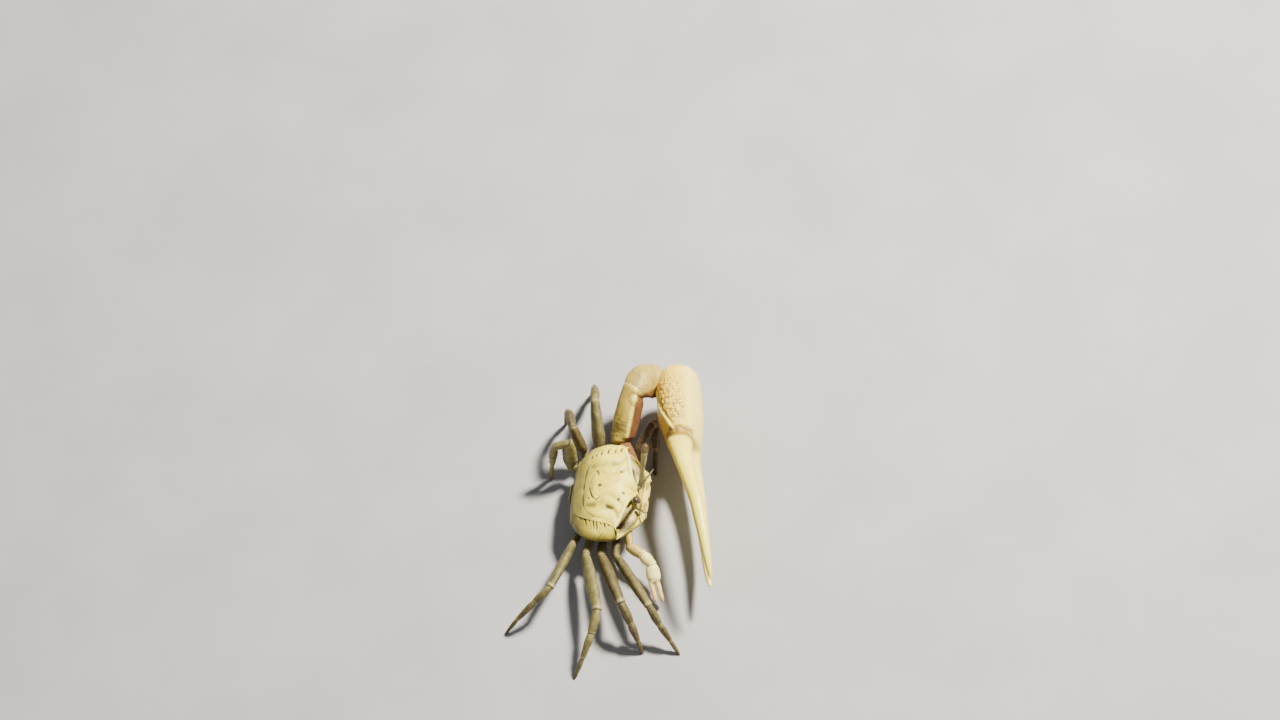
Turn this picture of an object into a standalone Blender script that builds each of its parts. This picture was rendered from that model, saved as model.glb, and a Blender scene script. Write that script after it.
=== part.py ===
"""Male fiddler crab, life size, standing with its great left claw folded across the front.

Millimetres are used for every named size and turned into metres in one place (MM).
The crab faces -Y, its left side is +X and up is +Z. Helper functions take places as
(left, ahead, up), which is the way the animal is measured, and turn them into X, Y, Z.
Every hard piece of the shell is one closed body, and neighbours keep GAP between them.
"""

import math

import bmesh
import bpy
import numpy as np
from mathutils import Vector

MM = 0.001
GAP = 0.34                    # joint seam between neighbouring shell pieces
HIP_SEAM = 0.44               # seam between a hip and the trunk wall
CLEAR_BEND = 0.6              # sine of a bend that is sharp enough to set the hinge

# ---- driving sizes of the body -------------------------------------------------------
CORNER_HALF_WIDTH = 15.8      # midline to the tip of the outer orbital corner
CORNER_AHEAD = 1.7            # how far the corners lie ahead of the body centre
FRONT_AHEAD = 5.6             # tip of the narrow front between the eyes
REAR_AHEAD = -14.3            # hind margin on the midline
REAR_HALF_WIDTH = 8.0         # half the hind margin
CREST_UP = 20.9               # highest point of the shell above the ground
CREST_AHEAD = -2.0
FRONT_DROP = 4.1              # from the crest down to the tip of the front
REAR_DROP = 6.3               # from the crest down to the hind margin
SIDE_DROP = 1.9               # from the midline down to the side ridge
FLOOR_UP = 14.3               # lower edge of the upper shell under the corners
FLOOR_SLOPE = 0.2             # rise of that edge towards the head
STERNUM_UP = 7.3              # underside of the trunk
FRONT_HALF_WIDTH = 4.0        # reach of the down-turned front to either side

# ---- driving sizes of the great claw -------------------------------------------------
PALM_LENGTH = 28.0
PALM_HEEL = (44.0, 13.6, 17.6)
PALM_TURN = math.radians(9.6)         # palm axis, turned ahead of straight across
PALM_LEAN = math.radians(15.0)        # upper edge leans back towards the face
FINGER_LENGTH = 48.0
FINGER_TURN = 0.125                   # extra turn ahead of the fingers, as a slope

# ---- limbs ---------------------------------------------------------------------------
FOOT_HALF = 0.5               # half the small flat under each foot
LEG_SIDES = 10                # faces round a merus
TOE_SIDES = 8                 # faces round the thinner outer segments
ARM_SIDES = 14                # faces round the great claw's arm
PALM_SIDES = 16               # faces round its palm

COLOURS = {
    "shell": ((0.72, 0.68, 0.42, 1.0), 0.45),
    "underside": ((0.42, 0.36, 0.22, 1.0), 0.6),
    "leg": ((0.36, 0.34, 0.17, 1.0), 0.55),
    "leg_joint": ((0.52, 0.47, 0.27, 1.0), 0.55),
    "claw": ((0.86, 0.70, 0.42, 1.0), 0.4),
    "finger": ((0.92, 0.84, 0.66, 1.0), 0.35),
    "small_claw": ((0.85, 0.80, 0.68, 1.0), 0.4),
    "stalk": ((0.55, 0.55, 0.38, 1.0), 0.4),
    "cornea": ((0.16, 0.10, 0.06, 1.0), 0.15),
    "mouth": ((0.62, 0.58, 0.38, 1.0), 0.55),
}


def clear_scene():
    """Start from nothing, whatever file is open, and return the empty that holds the crab."""
    for old in list(bpy.data.objects):
        bpy.data.objects.remove(old, do_unlink=True)
    holder = bpy.data.objects.new("fiddler_crab", None)
    bpy.context.scene.collection.objects.link(holder)
    return holder


def place(left, ahead, up):
    """A point given as left, ahead, up of the body centre, in millimetres."""
    return Vector((left, -ahead, up))


def material(kind):
    """One Principled material for each kind of shell surface."""
    found = bpy.data.materials.get(kind)
    if found:
        return found
    colour, roughness = COLOURS[kind]
    made = bpy.data.materials.new(kind)
    made.use_nodes = True
    shader = made.node_tree.nodes["Principled BSDF"]
    shader.inputs["Base Color"].default_value = colour
    shader.inputs["Roughness"].default_value = roughness
    shader.inputs["Metallic"].default_value = 0.0
    return made


def finish(name, mesh_data, kind):
    """Turn a bmesh in millimetres into a named object in metres, parented to the crab."""
    bmesh.ops.remove_doubles(mesh_data, verts=mesh_data.verts, dist=0.002)
    bmesh.ops.recalc_face_normals(mesh_data, faces=mesh_data.faces)
    bmesh.ops.scale(mesh_data, vec=(MM, MM, MM), verts=mesh_data.verts)
    middle = sum((vertex.co for vertex in mesh_data.verts), Vector()) / len(mesh_data.verts)
    bmesh.ops.translate(mesh_data, vec=-middle, verts=mesh_data.verts)
    mesh = bpy.data.meshes.new(name)
    mesh_data.to_mesh(mesh)
    mesh_data.free()
    mesh.shade_smooth()
    mesh.materials.append(material(kind))
    piece = bpy.data.objects.new(name, mesh)
    piece.location = middle
    piece.parent = crab
    bpy.context.scene.collection.objects.link(piece)


def loft(name, rings, kind):
    """Join rings of equal point count into one closed body with flat ends."""
    mesh_data = bmesh.new()
    loops = [[mesh_data.verts.new(point) for point in ring] for ring in rings]
    count = len(loops[0])
    for near, far in zip(loops, loops[1:]):
        for index in range(count):
            after = (index + 1) % count
            mesh_data.faces.new((near[index], near[after], far[after], far[index]))
    mesh_data.faces.new(list(reversed(loops[0])))
    mesh_data.faces.new(loops[-1])
    return finish(name, mesh_data, kind)


def oval(centre, across, along, half_across, half_along, sides, fullness=2.0):
    """A ring of points on a superellipse; fullness 2 is an ellipse, more is squarer."""
    points = []
    for index in range(sides):
        angle = 2.0 * math.pi * (index + 0.5) / sides
        cosine, sine = math.cos(angle), math.sin(angle)
        x = math.copysign(abs(cosine) ** (2.0 / fullness), cosine) * half_across
        y = math.copysign(abs(sine) ** (2.0 / fullness), sine) * half_along
        points.append(centre + across * x + along * y)
    return points


def bend(before, after, sideways):
    """Plane normal that halves the bend between two segments, and the hinge direction."""
    normal = (before.normalized() + after.normalized()).normalized()
    hinge = before.normalized().cross(after.normalized())
    if hinge.length < CLEAR_BEND:
        return normal, sideways
    hinge = hinge.normalized()
    if hinge.dot(sideways) < 0.0:
        hinge = -hinge
    return normal, hinge if hinge.dot(sideways) > 0.5 else sideways


def cut_ring(centre, axis, normal, sideways, half_wide, half_high, sides, fullness=2.0):
    """An oval tube section on a plane that may be tilted to the tube's axis."""
    wide = (sideways - normal * sideways.dot(normal)).normalized()
    high = normal.cross(wide).normalized()
    stretch = 1.0 / max(0.5, abs(axis.normalized().dot(normal)))
    return oval(centre, wide, high, half_wide, half_high * stretch, sides, fullness)


def article_rings(start, end, first, last, sections, sides, fullness=2.0, bow=None):
    """Rings of one limb segment from start to end.

    first and last are its end planes, each a normal and a hinge direction. sections
    lists (share of the length, half width, half height). A section that a tilted end
    plane would cut is left out. With bow, the segment is an elbow instead: its planes
    fan round from first to last, and its middle stands out of the bend by bow.
    """
    axis = end - start
    tilt_first = math.tan(min(1.1, axis.angle(first[0])))
    tilt_last = math.tan(min(1.1, axis.angle(last[0])))
    rings = []
    for share, half_wide, half_high in sections:
        side = first[1].lerp(last[1], share)
        if bow is None and 0.0 < share < 1.0 and (share * axis.length < half_high * tilt_first + GAP
                                  or (1.0 - share) * axis.length
                                  < half_high * tilt_last + GAP):
            continue
        if share <= 0.0:
            normal = first[0]
            centre = start + normal * (GAP / 2.0)
        elif share >= 1.0:
            normal = last[0]
            centre = end - normal * (GAP / 2.0)
        elif bow is not None:
            normal = first[0].lerp(last[0], share).normalized()
            outside = (first[0] - last[0]).normalized()
            centre = start.lerp(end, share) + outside * bow * math.sin(math.pi * share)
        else:
            normal = axis.normalized()
            centre = start.lerp(end, share)
        rings.append(cut_ring(centre, axis, normal, side, half_wide, half_high, sides,
                              fullness))
    return rings


# ---- upper shell ---------------------------------------------------------------------

# Outline of the shell's upper face: (ahead, half width) down the side ridge.
RIDGE = ((-13.6, 8.0), (-12.2, 9.6), (-9.0, 11.4), (-5.0, 12.6), (-1.5, 13.3),
         (0.2, 14.3), (1.7, 15.8))
# Margin over the eyes: (distance from the midline, ahead).
BROW = ((0.0, 5.6), (1.6, 5.4), (2.7, 4.8), (4.2, 3.7), (6.5, 2.9), (9.5, 2.2),
        (12.3, 1.2), (14.2, 0.5), (15.8, 1.7))
# Lower edge of the shell: (ahead, half width) along the side.
SKIRT = ((-13.6, 11.0), (-12.2, 13.2), (-9.0, 15.6), (-5.0, 16.6), (-1.5, 16.6),
         (0.2, 16.2), (1.7, 15.6))
# Crenellated margin under the eyes: (distance from the midline, ahead).
LOWER_BROW = ((0.0, 7.6), (5.2, 7.6), (9.0, 6.6), (12.0, 4.9), (15.6, 1.9))


def along(table, at):
    """Read a value off a short outline table."""
    return float(np.interp(at, [row[0] for row in table], [row[1] for row in table]))


def back_height(left, ahead):
    """Height of the shell's upper face: an arch from head to tail and side to side."""
    if ahead > CREST_AHEAD:
        share = (ahead - CREST_AHEAD) / (FRONT_AHEAD - CREST_AHEAD)
        drop = FRONT_DROP * share ** 3 * (0.3 + 0.7 * math.exp(-(left / FRONT_HALF_WIDTH) ** 2))
    else:
        share = (CREST_AHEAD - ahead) / (CREST_AHEAD - REAR_AHEAD)
        drop = REAR_DROP * share ** 2
    return CREST_UP - drop - SIDE_DROP * (abs(left) / 13.5) ** 2


def floor_height(ahead):
    """The sloping plane on which the upper shell ends."""
    return FLOOR_UP + FLOOR_SLOPE * (ahead - CORNER_AHEAD)


def shell_top(columns, rows):
    """Grid of points over the upper face, rows from the hind margin to the brow."""
    grid = []
    for row in range(rows + 1):
        forward = row / rows
        side_ahead = RIDGE[0][0] + (CORNER_AHEAD - RIDGE[0][0]) * forward
        half = along(RIDGE, side_ahead)
        line = []
        for column in range(columns + 1):
            across = -1.0 + 2.0 * column / columns
            brow = along(BROW, abs(across) * CORNER_HALF_WIDTH)
            rear = REAR_AHEAD + (RIDGE[0][0] - REAR_AHEAD) * across ** 2
            ahead = rear + (brow - rear) * forward
            left = across * half
            line.append((left, ahead, back_height(left, ahead)))
        grid.append(line)
    return grid


def rim_of(grid):
    """Border points of the grid in order, with the side of the shell each lies on."""
    rows, columns = len(grid) - 1, len(grid[0]) - 1
    rim = [(0, column, "rear") for column in range(columns)]
    rim += [(row, columns, "flank") for row in range(rows)]
    rim += [(rows, column, "brow") for column in range(columns, 0, -1)]
    rim += [(row, 0, "flank") for row in range(rows, 0, -1)]
    return rim


def skirt_point(point, side, brow_recess):
    """Where the shell wall below a border point meets the sloping floor plane."""
    left, ahead, _ = point
    if side == "brow":
        shrink = SKIRT[-1][1] / CORNER_HALF_WIDTH
        edge = min(1.0, (1.0 - abs(left) / CORNER_HALF_WIDTH) * 6.0)
        return left * shrink, ahead - brow_recess * edge
    if side == "rear":
        return left * SKIRT[0][1] / REAR_HALF_WIDTH, ahead - 0.7
    return math.copysign(along(SKIRT, ahead), left), ahead


WALL_STEPS = ((0.25, 0.10), (0.80, 0.36), (1.07, 0.70), (1.0, 1.0))     # (outward, down)
BROW_STEPS = ((-0.05, 0.20), (0.9, 0.42), (1.0, 0.72), (1.0, 1.0))


def build_carapace():
    """The upper shell: arched back, walled sides, and a brow that roofs the eye slots."""
    grid = shell_top(16, 10)
    rim = rim_of(grid)
    mesh_data = bmesh.new()
    top = [[mesh_data.verts.new(place(*point)) for point in line] for line in grid]
    for near, far in zip(top, top[1:]):
        for column in range(len(near) - 1):
            mesh_data.faces.new((near[column], near[column + 1],
                                 far[column + 1], far[column]))
    previous = [top[row][column] for row, column, _ in rim]
    for wall_step, brow_step in zip(WALL_STEPS, BROW_STEPS):
        ring = []
        for row, column, side in rim:
            point = grid[row][column]
            low_left, low_ahead = skirt_point(point, side, brow_recess=3.4)
            out, down = brow_step if side == "brow" else wall_step
            left = point[0] + (low_left - point[0]) * out
            ahead = point[1] + (low_ahead - point[1]) * out
            end = floor_height(ahead)
            up = point[2] + (end - point[2]) * down
            ring.append(mesh_data.verts.new(place(left, ahead, up)))
        for index in range(len(rim)):
            after = (index + 1) % len(rim)
            mesh_data.faces.new((previous[index], previous[after],
                                 ring[after], ring[index]))
        previous = ring
    mesh_data.faces.new(previous)
    finish("carapace", mesh_data, "shell")


# ---- trunk ---------------------------------------------------------------------------

HIP_TOP = ((-13.0, 9.0), (-11.5, 12.2), (-8.0, 13.6), (-4.0, 14.3), (4.0, 14.3))
HIP_LOW = ((-12.0, 6.4), (-10.5, 8.4), (-7.0, 10.4), (-3.0, 11.5), (4.0, 11.5))
HIP_LOW_UP = 8.0
TRUNK_EDGE = 0.975            # the trunk's upper edge, drawn in under the shell's edge


def hip_top_height(ahead):
    """Upper edge of the wall that carries the legs."""
    return floor_height(ahead) - 2.2


def trunk_rings():
    """Outlines of the trunk from the shell's floor plane down to the sternum."""
    grid = shell_top(12, 8)
    rim = rim_of(grid)
    rings = [[], [], [], []]
    for row, column, side in rim:
        point = grid[row][column]
        sign = math.copysign(1.0, point[0]) if abs(point[0]) > 1e-6 else 0.0
        low_left, low_ahead = skirt_point(point, side, brow_recess=0.0)
        if side == "brow":
            ahead = along(LOWER_BROW, abs(low_left)) - 0.05
            spots = ((low_left * TRUNK_EDGE, ahead), (low_left * 0.93, ahead - 0.1),
                     (low_left * 0.76, min(ahead - 1.0, 6.0)),
                     (low_left * 0.55, min(ahead - 2.0, 4.6)))
        elif side == "rear":
            share = low_left / SKIRT[0][1]
            spots = ((low_left * 0.96, low_ahead + 0.5), (share * HIP_TOP[0][1], -13.2),
                     (share * HIP_LOW[0][1], -12.0), (share * 5.4, -10.8))
        else:
            reach = (low_ahead - RIDGE[0][0]) / (CORNER_AHEAD - RIDGE[0][0])
            top_ahead = HIP_TOP[0][0] + reach * (CORNER_AHEAD - HIP_TOP[0][0])
            low_edge = HIP_LOW[0][0] + reach * (CORNER_AHEAD - HIP_LOW[0][0])
            spots = ((low_left * TRUNK_EDGE, low_ahead),
                     (sign * along(HIP_TOP, top_ahead), top_ahead),
                     (sign * along(HIP_LOW, low_edge), low_edge),
                     (sign * (along(HIP_LOW, low_edge) - 2.2), low_edge + 0.6))
        heights = (floor_height(spots[0][1]) - GAP, hip_top_height(spots[1][1]),
                   HIP_LOW_UP, STERNUM_UP)
        for ring, spot, height in zip(rings, spots, heights):
            ring.append(place(spot[0], spot[1], height))
    return rings


def build_trunk():
    """Sternum, cheeks and hip walls in one body under the upper shell."""
    loft("trunk", trunk_rings(), "underside")


# Tail flap, from the hind margin forward under the trunk: (ahead, height, half width).
TAIL_FLAP = ((-14.5, 9.6, 4.6), (-13.2, 7.9, 4.7), (-11.2, 6.45, 4.3), (-7.5, 6.3, 3.4),
             (-3.5, 6.3, 2.3), (-0.5, 6.3, 1.3))
TAIL_HALF_THICK = 0.55


def build_abdomen():
    """The narrow tail flap of a male, folded forward under the trunk."""
    points = [place(0.0, ahead, up) for ahead, up, _ in TAIL_FLAP]
    wide = Vector((1.0, 0.0, 0.0))
    rings = []
    for index, (_, _, half) in enumerate(TAIL_FLAP):
        before = points[max(0, index - 1)]
        after = points[min(len(points) - 1, index + 1)]
        axis = (after - before).normalized()
        rings.append(oval(points[index], wide, axis.cross(wide), half, TAIL_HALF_THICK,
                          12, 2.6))
    loft("abdomen", rings, "underside")


# Outer mouthparts: (height, thickness, half width).
FLAPS = ((8.9, 0.5, 1.3), (10.2, 1.1, 2.1), (12.0, 1.5, 2.35), (13.6, 1.4, 2.2),
         (14.7, 0.8, 1.5))
FLAP_MIDDLE = 2.6             # from the midline to the middle of a flap
FACE_AHEAD = 7.6              # how far forward the face stands
CHIN_UP = 13.2                # below this the face slopes back
CHIN_SLOPE = 0.31


def build_mouth_flaps():
    """The pair of broad outer mouthparts that close the face under the eyes."""
    for sign, side in ((1.0, "left"), (-1.0, "right")):
        rings = []
        for up, thick, half in FLAPS:
            face = FACE_AHEAD - max(0.0, CHIN_UP - up) * CHIN_SLOPE
            centre = place(sign * FLAP_MIDDLE, face + GAP + thick / 2.0, up)
            rings.append(oval(centre, Vector((1.0, 0.0, 0.0)), Vector((0.0, -1.0, 0.0)),
                              half, thick / 2.0, 12, 2.4))
        loft("maxilliped_" + side, rings, "mouth")


# ---- eyes and feelers ----------------------------------------------------------------

STALK_FOOT = (2.6, 6.3, 17.2)
EYE_TIPS = {"left": (13.4, 6.6, 25.2), "right": (-7.6, 6.0, 26.6)}
EYE_LENGTH = 3.0
EYE_HALF = 1.25
STALK = ((0.0, 1.05), (0.25, 0.85), (0.6, 0.8), (0.9, 0.95), (1.0, 0.9))
EYE_BEAD = ((0.0, 0.72), (0.12, 1.0), (0.38, 1.0), (0.7, 0.86), (0.9, 0.5), (1.0, 0.2))


def build_eyes():
    """Each eye is a bead on a long stalk; the bead caps the stalk's end."""
    for side, tip_place in EYE_TIPS.items():
        sign = math.copysign(1.0, tip_place[0])
        foot = place(sign * STALK_FOOT[0], STALK_FOOT[1], STALK_FOOT[2])
        tip = place(*tip_place)
        axis = (tip - foot).normalized()
        wide = axis.cross(Vector((0.0, 1.0, 0.0))).normalized()
        high = axis.cross(wide)
        length = (tip - foot).length
        neck = length - EYE_LENGTH
        rings = [oval(foot + axis * (neck * share), wide, high, half, half, 10)
                 for share, half in STALK]
        loft("eyestalk_" + side, rings, "stalk")
        start = foot + axis * (neck + GAP)
        room = EYE_LENGTH - GAP
        rings = [oval(start + axis * (room * share), wide, high, EYE_HALF * half,
                      EYE_HALF * half, 12) for share, half in EYE_BEAD]
        loft("eye_" + side, rings, "cornea")


# A feeler from its root outward: (place, half thickness).
FEELER = (((4.9, 6.4, 15.9), 0.5), ((5.6, 7.4, 16.5), 0.42),
          ((6.9, 8.6, 17.1), 0.32), ((8.6, 9.6, 17.3), 0.27))


def build_feelers():
    """Short second antennae beside the front."""
    for sign, side in ((1.0, "left"), (-1.0, "right")):
        points = [place(sign * spot[0], spot[1], spot[2]) for spot, _ in FEELER]
        rings = []
        for index, (_, half) in enumerate(FEELER):
            before = points[max(0, index - 1)]
            after = points[min(len(points) - 1, index + 1)]
            axis = (after - before).normalized()
            wide = axis.cross(Vector((0.0, 0.0, 1.0))).normalized()
            rings.append(oval(points[index], wide, axis.cross(wide), half, half, 8))
        loft("antenna_" + side, rings, "stalk")


# ---- walking legs --------------------------------------------------------------------

# For each leg: place of the hip along the body, then the bends from the short hip
# segment outward: merus start, knee, ankle, wrist of the foot, and toe on the ground.
LEGS = {
    "leg_right_2": (0.7, (-18.8, 1.2, 9.2), (-37.6, 13.8, 14.6), (-40.8, 17.4, 9.4),
                    (-43.6, 21.2, 4.6), (-46.0, 24.4, 0.0)),
    "leg_right_3": (-3.2, (-19.0, -3.6, 9.2), (-37.8, 5.2, 15.0), (-42.0, 8.6, 10.4),
                    (-45.0, 11.2, 5.0), (-47.0, 13.0, 0.0)),
    "leg_right_4": (-7.1, (-19.8, -8.2, 9.4), (-40.4, -2.0, 13.6), (-47.0, -2.9, 10.6),
                    (-53.6, -4.8, 6.0), (-58.2, -6.9, 0.0)),
    "leg_right_5": (-10.6, (-15.6, -12.4, 9.2), (-34.6, -17.4, 14.2), (-38.8, -21.6, 11.2),
                    (-43.0, -26.6, 6.2), (-45.4, -30.2, 0.0)),
    "leg_left_2": (0.7, (17.4, 2.2, 6.6), (27.2, 7.0, 12.4), (29.0, 7.8, 8.8),
                   (23.0, 8.6, 4.2), (15.8, 9.3, 0.0)),
    "leg_left_3": (-3.9, (18.4, -8.6, 8.8), (30.8, -11.7, 17.6), (35.8, -12.3, 14.4),
                   (40.6, -13.1, 7.4), (43.4, -13.4, 0.0)),
    "leg_left_4": (-7.3, (16.4, -13.4, 7.8), (18.8, -17.2, 20.6), (24.4, -19.0, 18.6),
                   (28.6, -20.4, 10.0), (30.4, -21.2, 0.0)),
    "leg_left_5": (-10.6, (11.2, -16.8, 7.8), (12.4, -17.8, 21.2), (11.6, -22.0, 19.4),
                   (10.6, -22.8, 9.6), (10.2, -23.2, 0.0)),
}
# Half width and half height of the segments of the third leg; others scale from it.
LEG_GIRTH = {"2": 0.9, "3": 1.02, "4": 1.0, "5": 0.82}
MERUS = ((0.0, 1.3, 1.55), (0.12, 1.55, 2.1), (0.35, 1.85, 2.75), (0.65, 1.8, 2.6),
         (0.88, 1.55, 2.0), (1.0, 1.35, 1.65))
CARPUS = ((0.0, 1.2, 1.45), (0.3, 1.4, 1.75), (0.6, 1.45, 1.85), (1.0, 1.2, 1.35))
PROPODUS = ((0.0, 1.15, 1.35), (0.3, 1.25, 1.55), (0.75, 1.0, 1.2), (1.0, 0.8, 0.9))
DACTYL = ((0.0, 0.75, 0.85), (0.3, 0.75, 0.85), (0.7, 0.6, 0.65), (1.0, 0.5, 0.5))
# Hip segment: (share of its length, half width, half height).
HIP = ((0.0, 1.35, 1.25), (0.55, 1.25, 1.45), (1.0, 1.3, 1.55))
KNEE_BOW = 0.25               # how far a carpus stands out of the bend it makes


def hip_on_wall(sign, ahead, share_down=0.5):
    """Point, outward normal and rearward direction of the wall that carries a hip."""
    def wall(at, share):
        upper = place(sign * along(HIP_TOP, at), at, hip_top_height(at))
        lower = place(sign * along(HIP_LOW, at), at, HIP_LOW_UP)
        return upper.lerp(lower, share)
    spot = wall(ahead, share_down)
    back = (wall(ahead - 1.2, 0.5) - wall(ahead + 1.2, 0.5)).normalized()
    down = (wall(ahead, 1.0) - wall(ahead, 0.0)).normalized()
    normal = back.cross(down).normalized()
    if normal.x * sign < 0.0:
        normal = -normal
    return spot, normal, back


def scaled(sections, girth):
    """The same run of sections on a thicker or thinner limb."""
    return [(share, wide * girth, high * girth) for share, wide, high in sections]


def build_leg(name, hip_ahead, bends, girth):
    """Merus with its hip segment, then carpus, propodus and a pointed dactyl."""
    sign = 1.0 if bends[0][0] > 0.0 else -1.0
    hip, wall_normal, wall_back = hip_on_wall(sign, hip_ahead)
    hip = hip + wall_normal * HIP_SEAM
    merus, knee, ankle, foot_joint, toe = [place(*bend) for bend in bends]
    outward = (toe - hip)
    outward.z = 0.0
    sideways = outward.normalized().cross(Vector((0.0, 0.0, 1.0)))
    wall_wide = wall_back * (1.0 if wall_back.dot(sideways) > 0.0 else -1.0)

    hip_rings, root = hip_segment(hip, merus, knee, wall_normal, wall_wide, sideways,
                                  girth, LEG_SIDES)
    bent_knee = bend(knee - merus, ankle - knee, sideways)
    rings = hip_rings + article_rings(merus, knee, root, bent_knee,
                                      scaled(MERUS, girth)[1:], LEG_SIDES)
    loft(name + "_merus", rings, "leg")
    bent_ankle = bend(ankle - knee, foot_joint - ankle, sideways)
    loft(name + "_carpus", article_rings(knee, ankle, bent_knee, bent_ankle,
                                         scaled(CARPUS, girth), TOE_SIDES,
                                         bow=KNEE_BOW), "leg_joint")
    bent_foot = bend(foot_joint - ankle, toe - foot_joint, sideways)
    loft(name + "_propodus", article_rings(ankle, foot_joint, bent_ankle, bent_foot,
                                           scaled(PROPODUS, girth), TOE_SIDES), "leg")
    build_toe(name + "_dactyl", foot_joint, toe, bent_foot, sideways,
              scaled(DACTYL, girth))


def hip_segment(hip, merus, knee, wall_normal, wall_wide, sideways, girth, sides,
                swell=1.0):
    """Rings of the short segment between the trunk wall and the start of the merus."""
    axis = (merus - hip).normalized()
    root = bend(axis, knee - merus, sideways)
    planes = ((wall_normal, wall_wide, girth), (axis, sideways, girth * swell),
              (root[0], root[1], girth * swell))
    rings = [cut_ring(hip.lerp(merus, share), axis, normal, wide, half_wide * size,
                      half_high * size, sides)
             for (share, half_wide, half_high), (normal, wide, size) in zip(HIP, planes)]
    return rings, root


def build_toe(name, start, toe, first, sideways, sections):
    """The pointed last segment; it ends in a small flat on the ground."""
    axis = toe - start
    rings = []
    for share, wide, high in sections:
        centre = start.lerp(toe, share)
        if share <= 0.0:
            rings.append(cut_ring(start + first[0] * (GAP / 2.0), axis, first[0],
                                  first[1], wide, high, TOE_SIDES))
        elif share >= 1.0:
            flat = Vector((0.0, 0.0, -1.0))
            rings.append(cut_ring(centre, flat, flat, sideways, FOOT_HALF, FOOT_HALF,
                                  TOE_SIDES))
        else:
            rings.append(cut_ring(centre, axis, axis.normalized(), sideways, wide, high,
                                  TOE_SIDES))
    loft(name, rings, "leg")


def build_legs():
    """All eight walking legs."""
    for name, (hip_ahead, *bends) in LEGS.items():
        build_leg(name, hip_ahead, bends, LEG_GIRTH[name[-1]])


# ---- great claw ----------------------------------------------------------------------

ARM_HIP_AHEAD = 4.4
ARM_HIP_SHARE = 0.45                  # how far down the hip wall the great arm starts
ARM_BENDS = ((20.4, -1.8, 12.3), (32.4, 0.5, 23.4))
WRIST = (38.8, 6.3, 19.8)
ARM_MERUS = ((0.16, 3.9, 3.2), (0.4, 4.1, 3.9), (0.75, 3.8, 4.1), (1.0, 3.4, 3.4))
ARM_CARPUS = ((0.0, 3.6, 2.7), (0.25, 4.7, 3.6), (0.5, 5.1, 4.3), (0.75, 5.1, 4.4),
              (1.0, 4.4, 3.3))
ARM_GIRTH = 1.05              # the arm's hip segment, against a walking leg's
ARM_SWELL = 1.3
ELBOW_BOW = 1.3
# Palm and lower finger: (share of the palm's length, shift up, shift out, half height,
# half thickness).
PALM = ((0.0, 0.3, 0.0, 4.4, 3.6), (0.035, 0.2, 0.0, 7.2, 5.2), (0.12, 0.1, -0.1, 9.4, 6.4),
        (0.32, 0.0, -0.3, 10.6, 6.9), (0.55, 0.0, -0.3, 10.8, 6.9),
        (0.78, 0.0, 0.0, 10.2, 6.0), (0.93, -0.2, 0.4, 9.4, 5.0))
FORK_SHARE = 0.94             # where the fixed finger leaves the palm
LOWER_BULGE = 1.6             # how far it bows outward of the free finger
# Fingers: (share of the finger's length, centre height, half height, half thickness).
LOWER_FINGER = ((0.03, -4.9, 4.7, 3.8), (0.12, -5.6, 3.5, 3.0), (0.3, -6.4, 2.7, 2.4),
                (0.5, -6.8, 2.4, 2.0), (0.7, -6.6, 2.1, 1.6), (0.86, -5.6, 1.6, 1.15),
                (0.95, -4.6, 1.1, 0.8), (1.0, -3.8, 0.5, 0.4))
UPPER_FINGER = ((0.0, 4.9, 4.3, 3.9), (0.1, 6.6, 3.5, 3.3), (0.28, 8.5, 2.8, 2.6),
                (0.48, 8.9, 2.5, 2.2), (0.68, 8.2, 2.1, 1.8), (0.85, 6.6, 1.6, 1.25),
                (0.95, 5.0, 1.1, 0.8), (0.99, 4.2, 0.5, 0.4))


def claw_frame():
    """Directions of the palm: towards the fingers, up its height, out of its outer face."""
    reach = place(-math.cos(PALM_TURN), math.sin(PALM_TURN), 0.0)
    outer = place(math.sin(PALM_TURN), math.cos(PALM_TURN), 0.0)
    lean_up = Vector((0.0, 0.0, 1.0)) * math.cos(PALM_LEAN) - outer * math.sin(PALM_LEAN)
    lean_out = outer * math.cos(PALM_LEAN) + Vector((0.0, 0.0, 1.0)) * math.sin(PALM_LEAN)
    return reach, lean_up, lean_out, outer


def finger_rings(sections, start_share, bow_out):
    """Sections of a finger, which bends outward as a whole and stands up straighter."""
    reach, lean_up, lean_out, outer = claw_frame()
    base = place(*PALM_HEEL) + reach * (PALM_LENGTH * start_share)
    upright = Vector((0.0, 0.0, 1.0))
    rings = []
    for share, height, half_high, half_thick in sections:
        blend = min(1.0, share * 2.2)
        rise = (lean_up * (1.0 - blend) + upright * blend).normalized()
        out = (lean_out * (1.0 - blend) + outer * blend).normalized()
        centre = base + reach * (FINGER_LENGTH * share) + rise * height
        bulge = bow_out * math.sin(math.pi * min(1.0, share * 1.1))
        centre += outer * (FINGER_LENGTH * share * FINGER_TURN + bulge)
        rings.append(oval(centre, out, rise, half_thick, half_high, 12, 2.2))
    return rings


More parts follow.
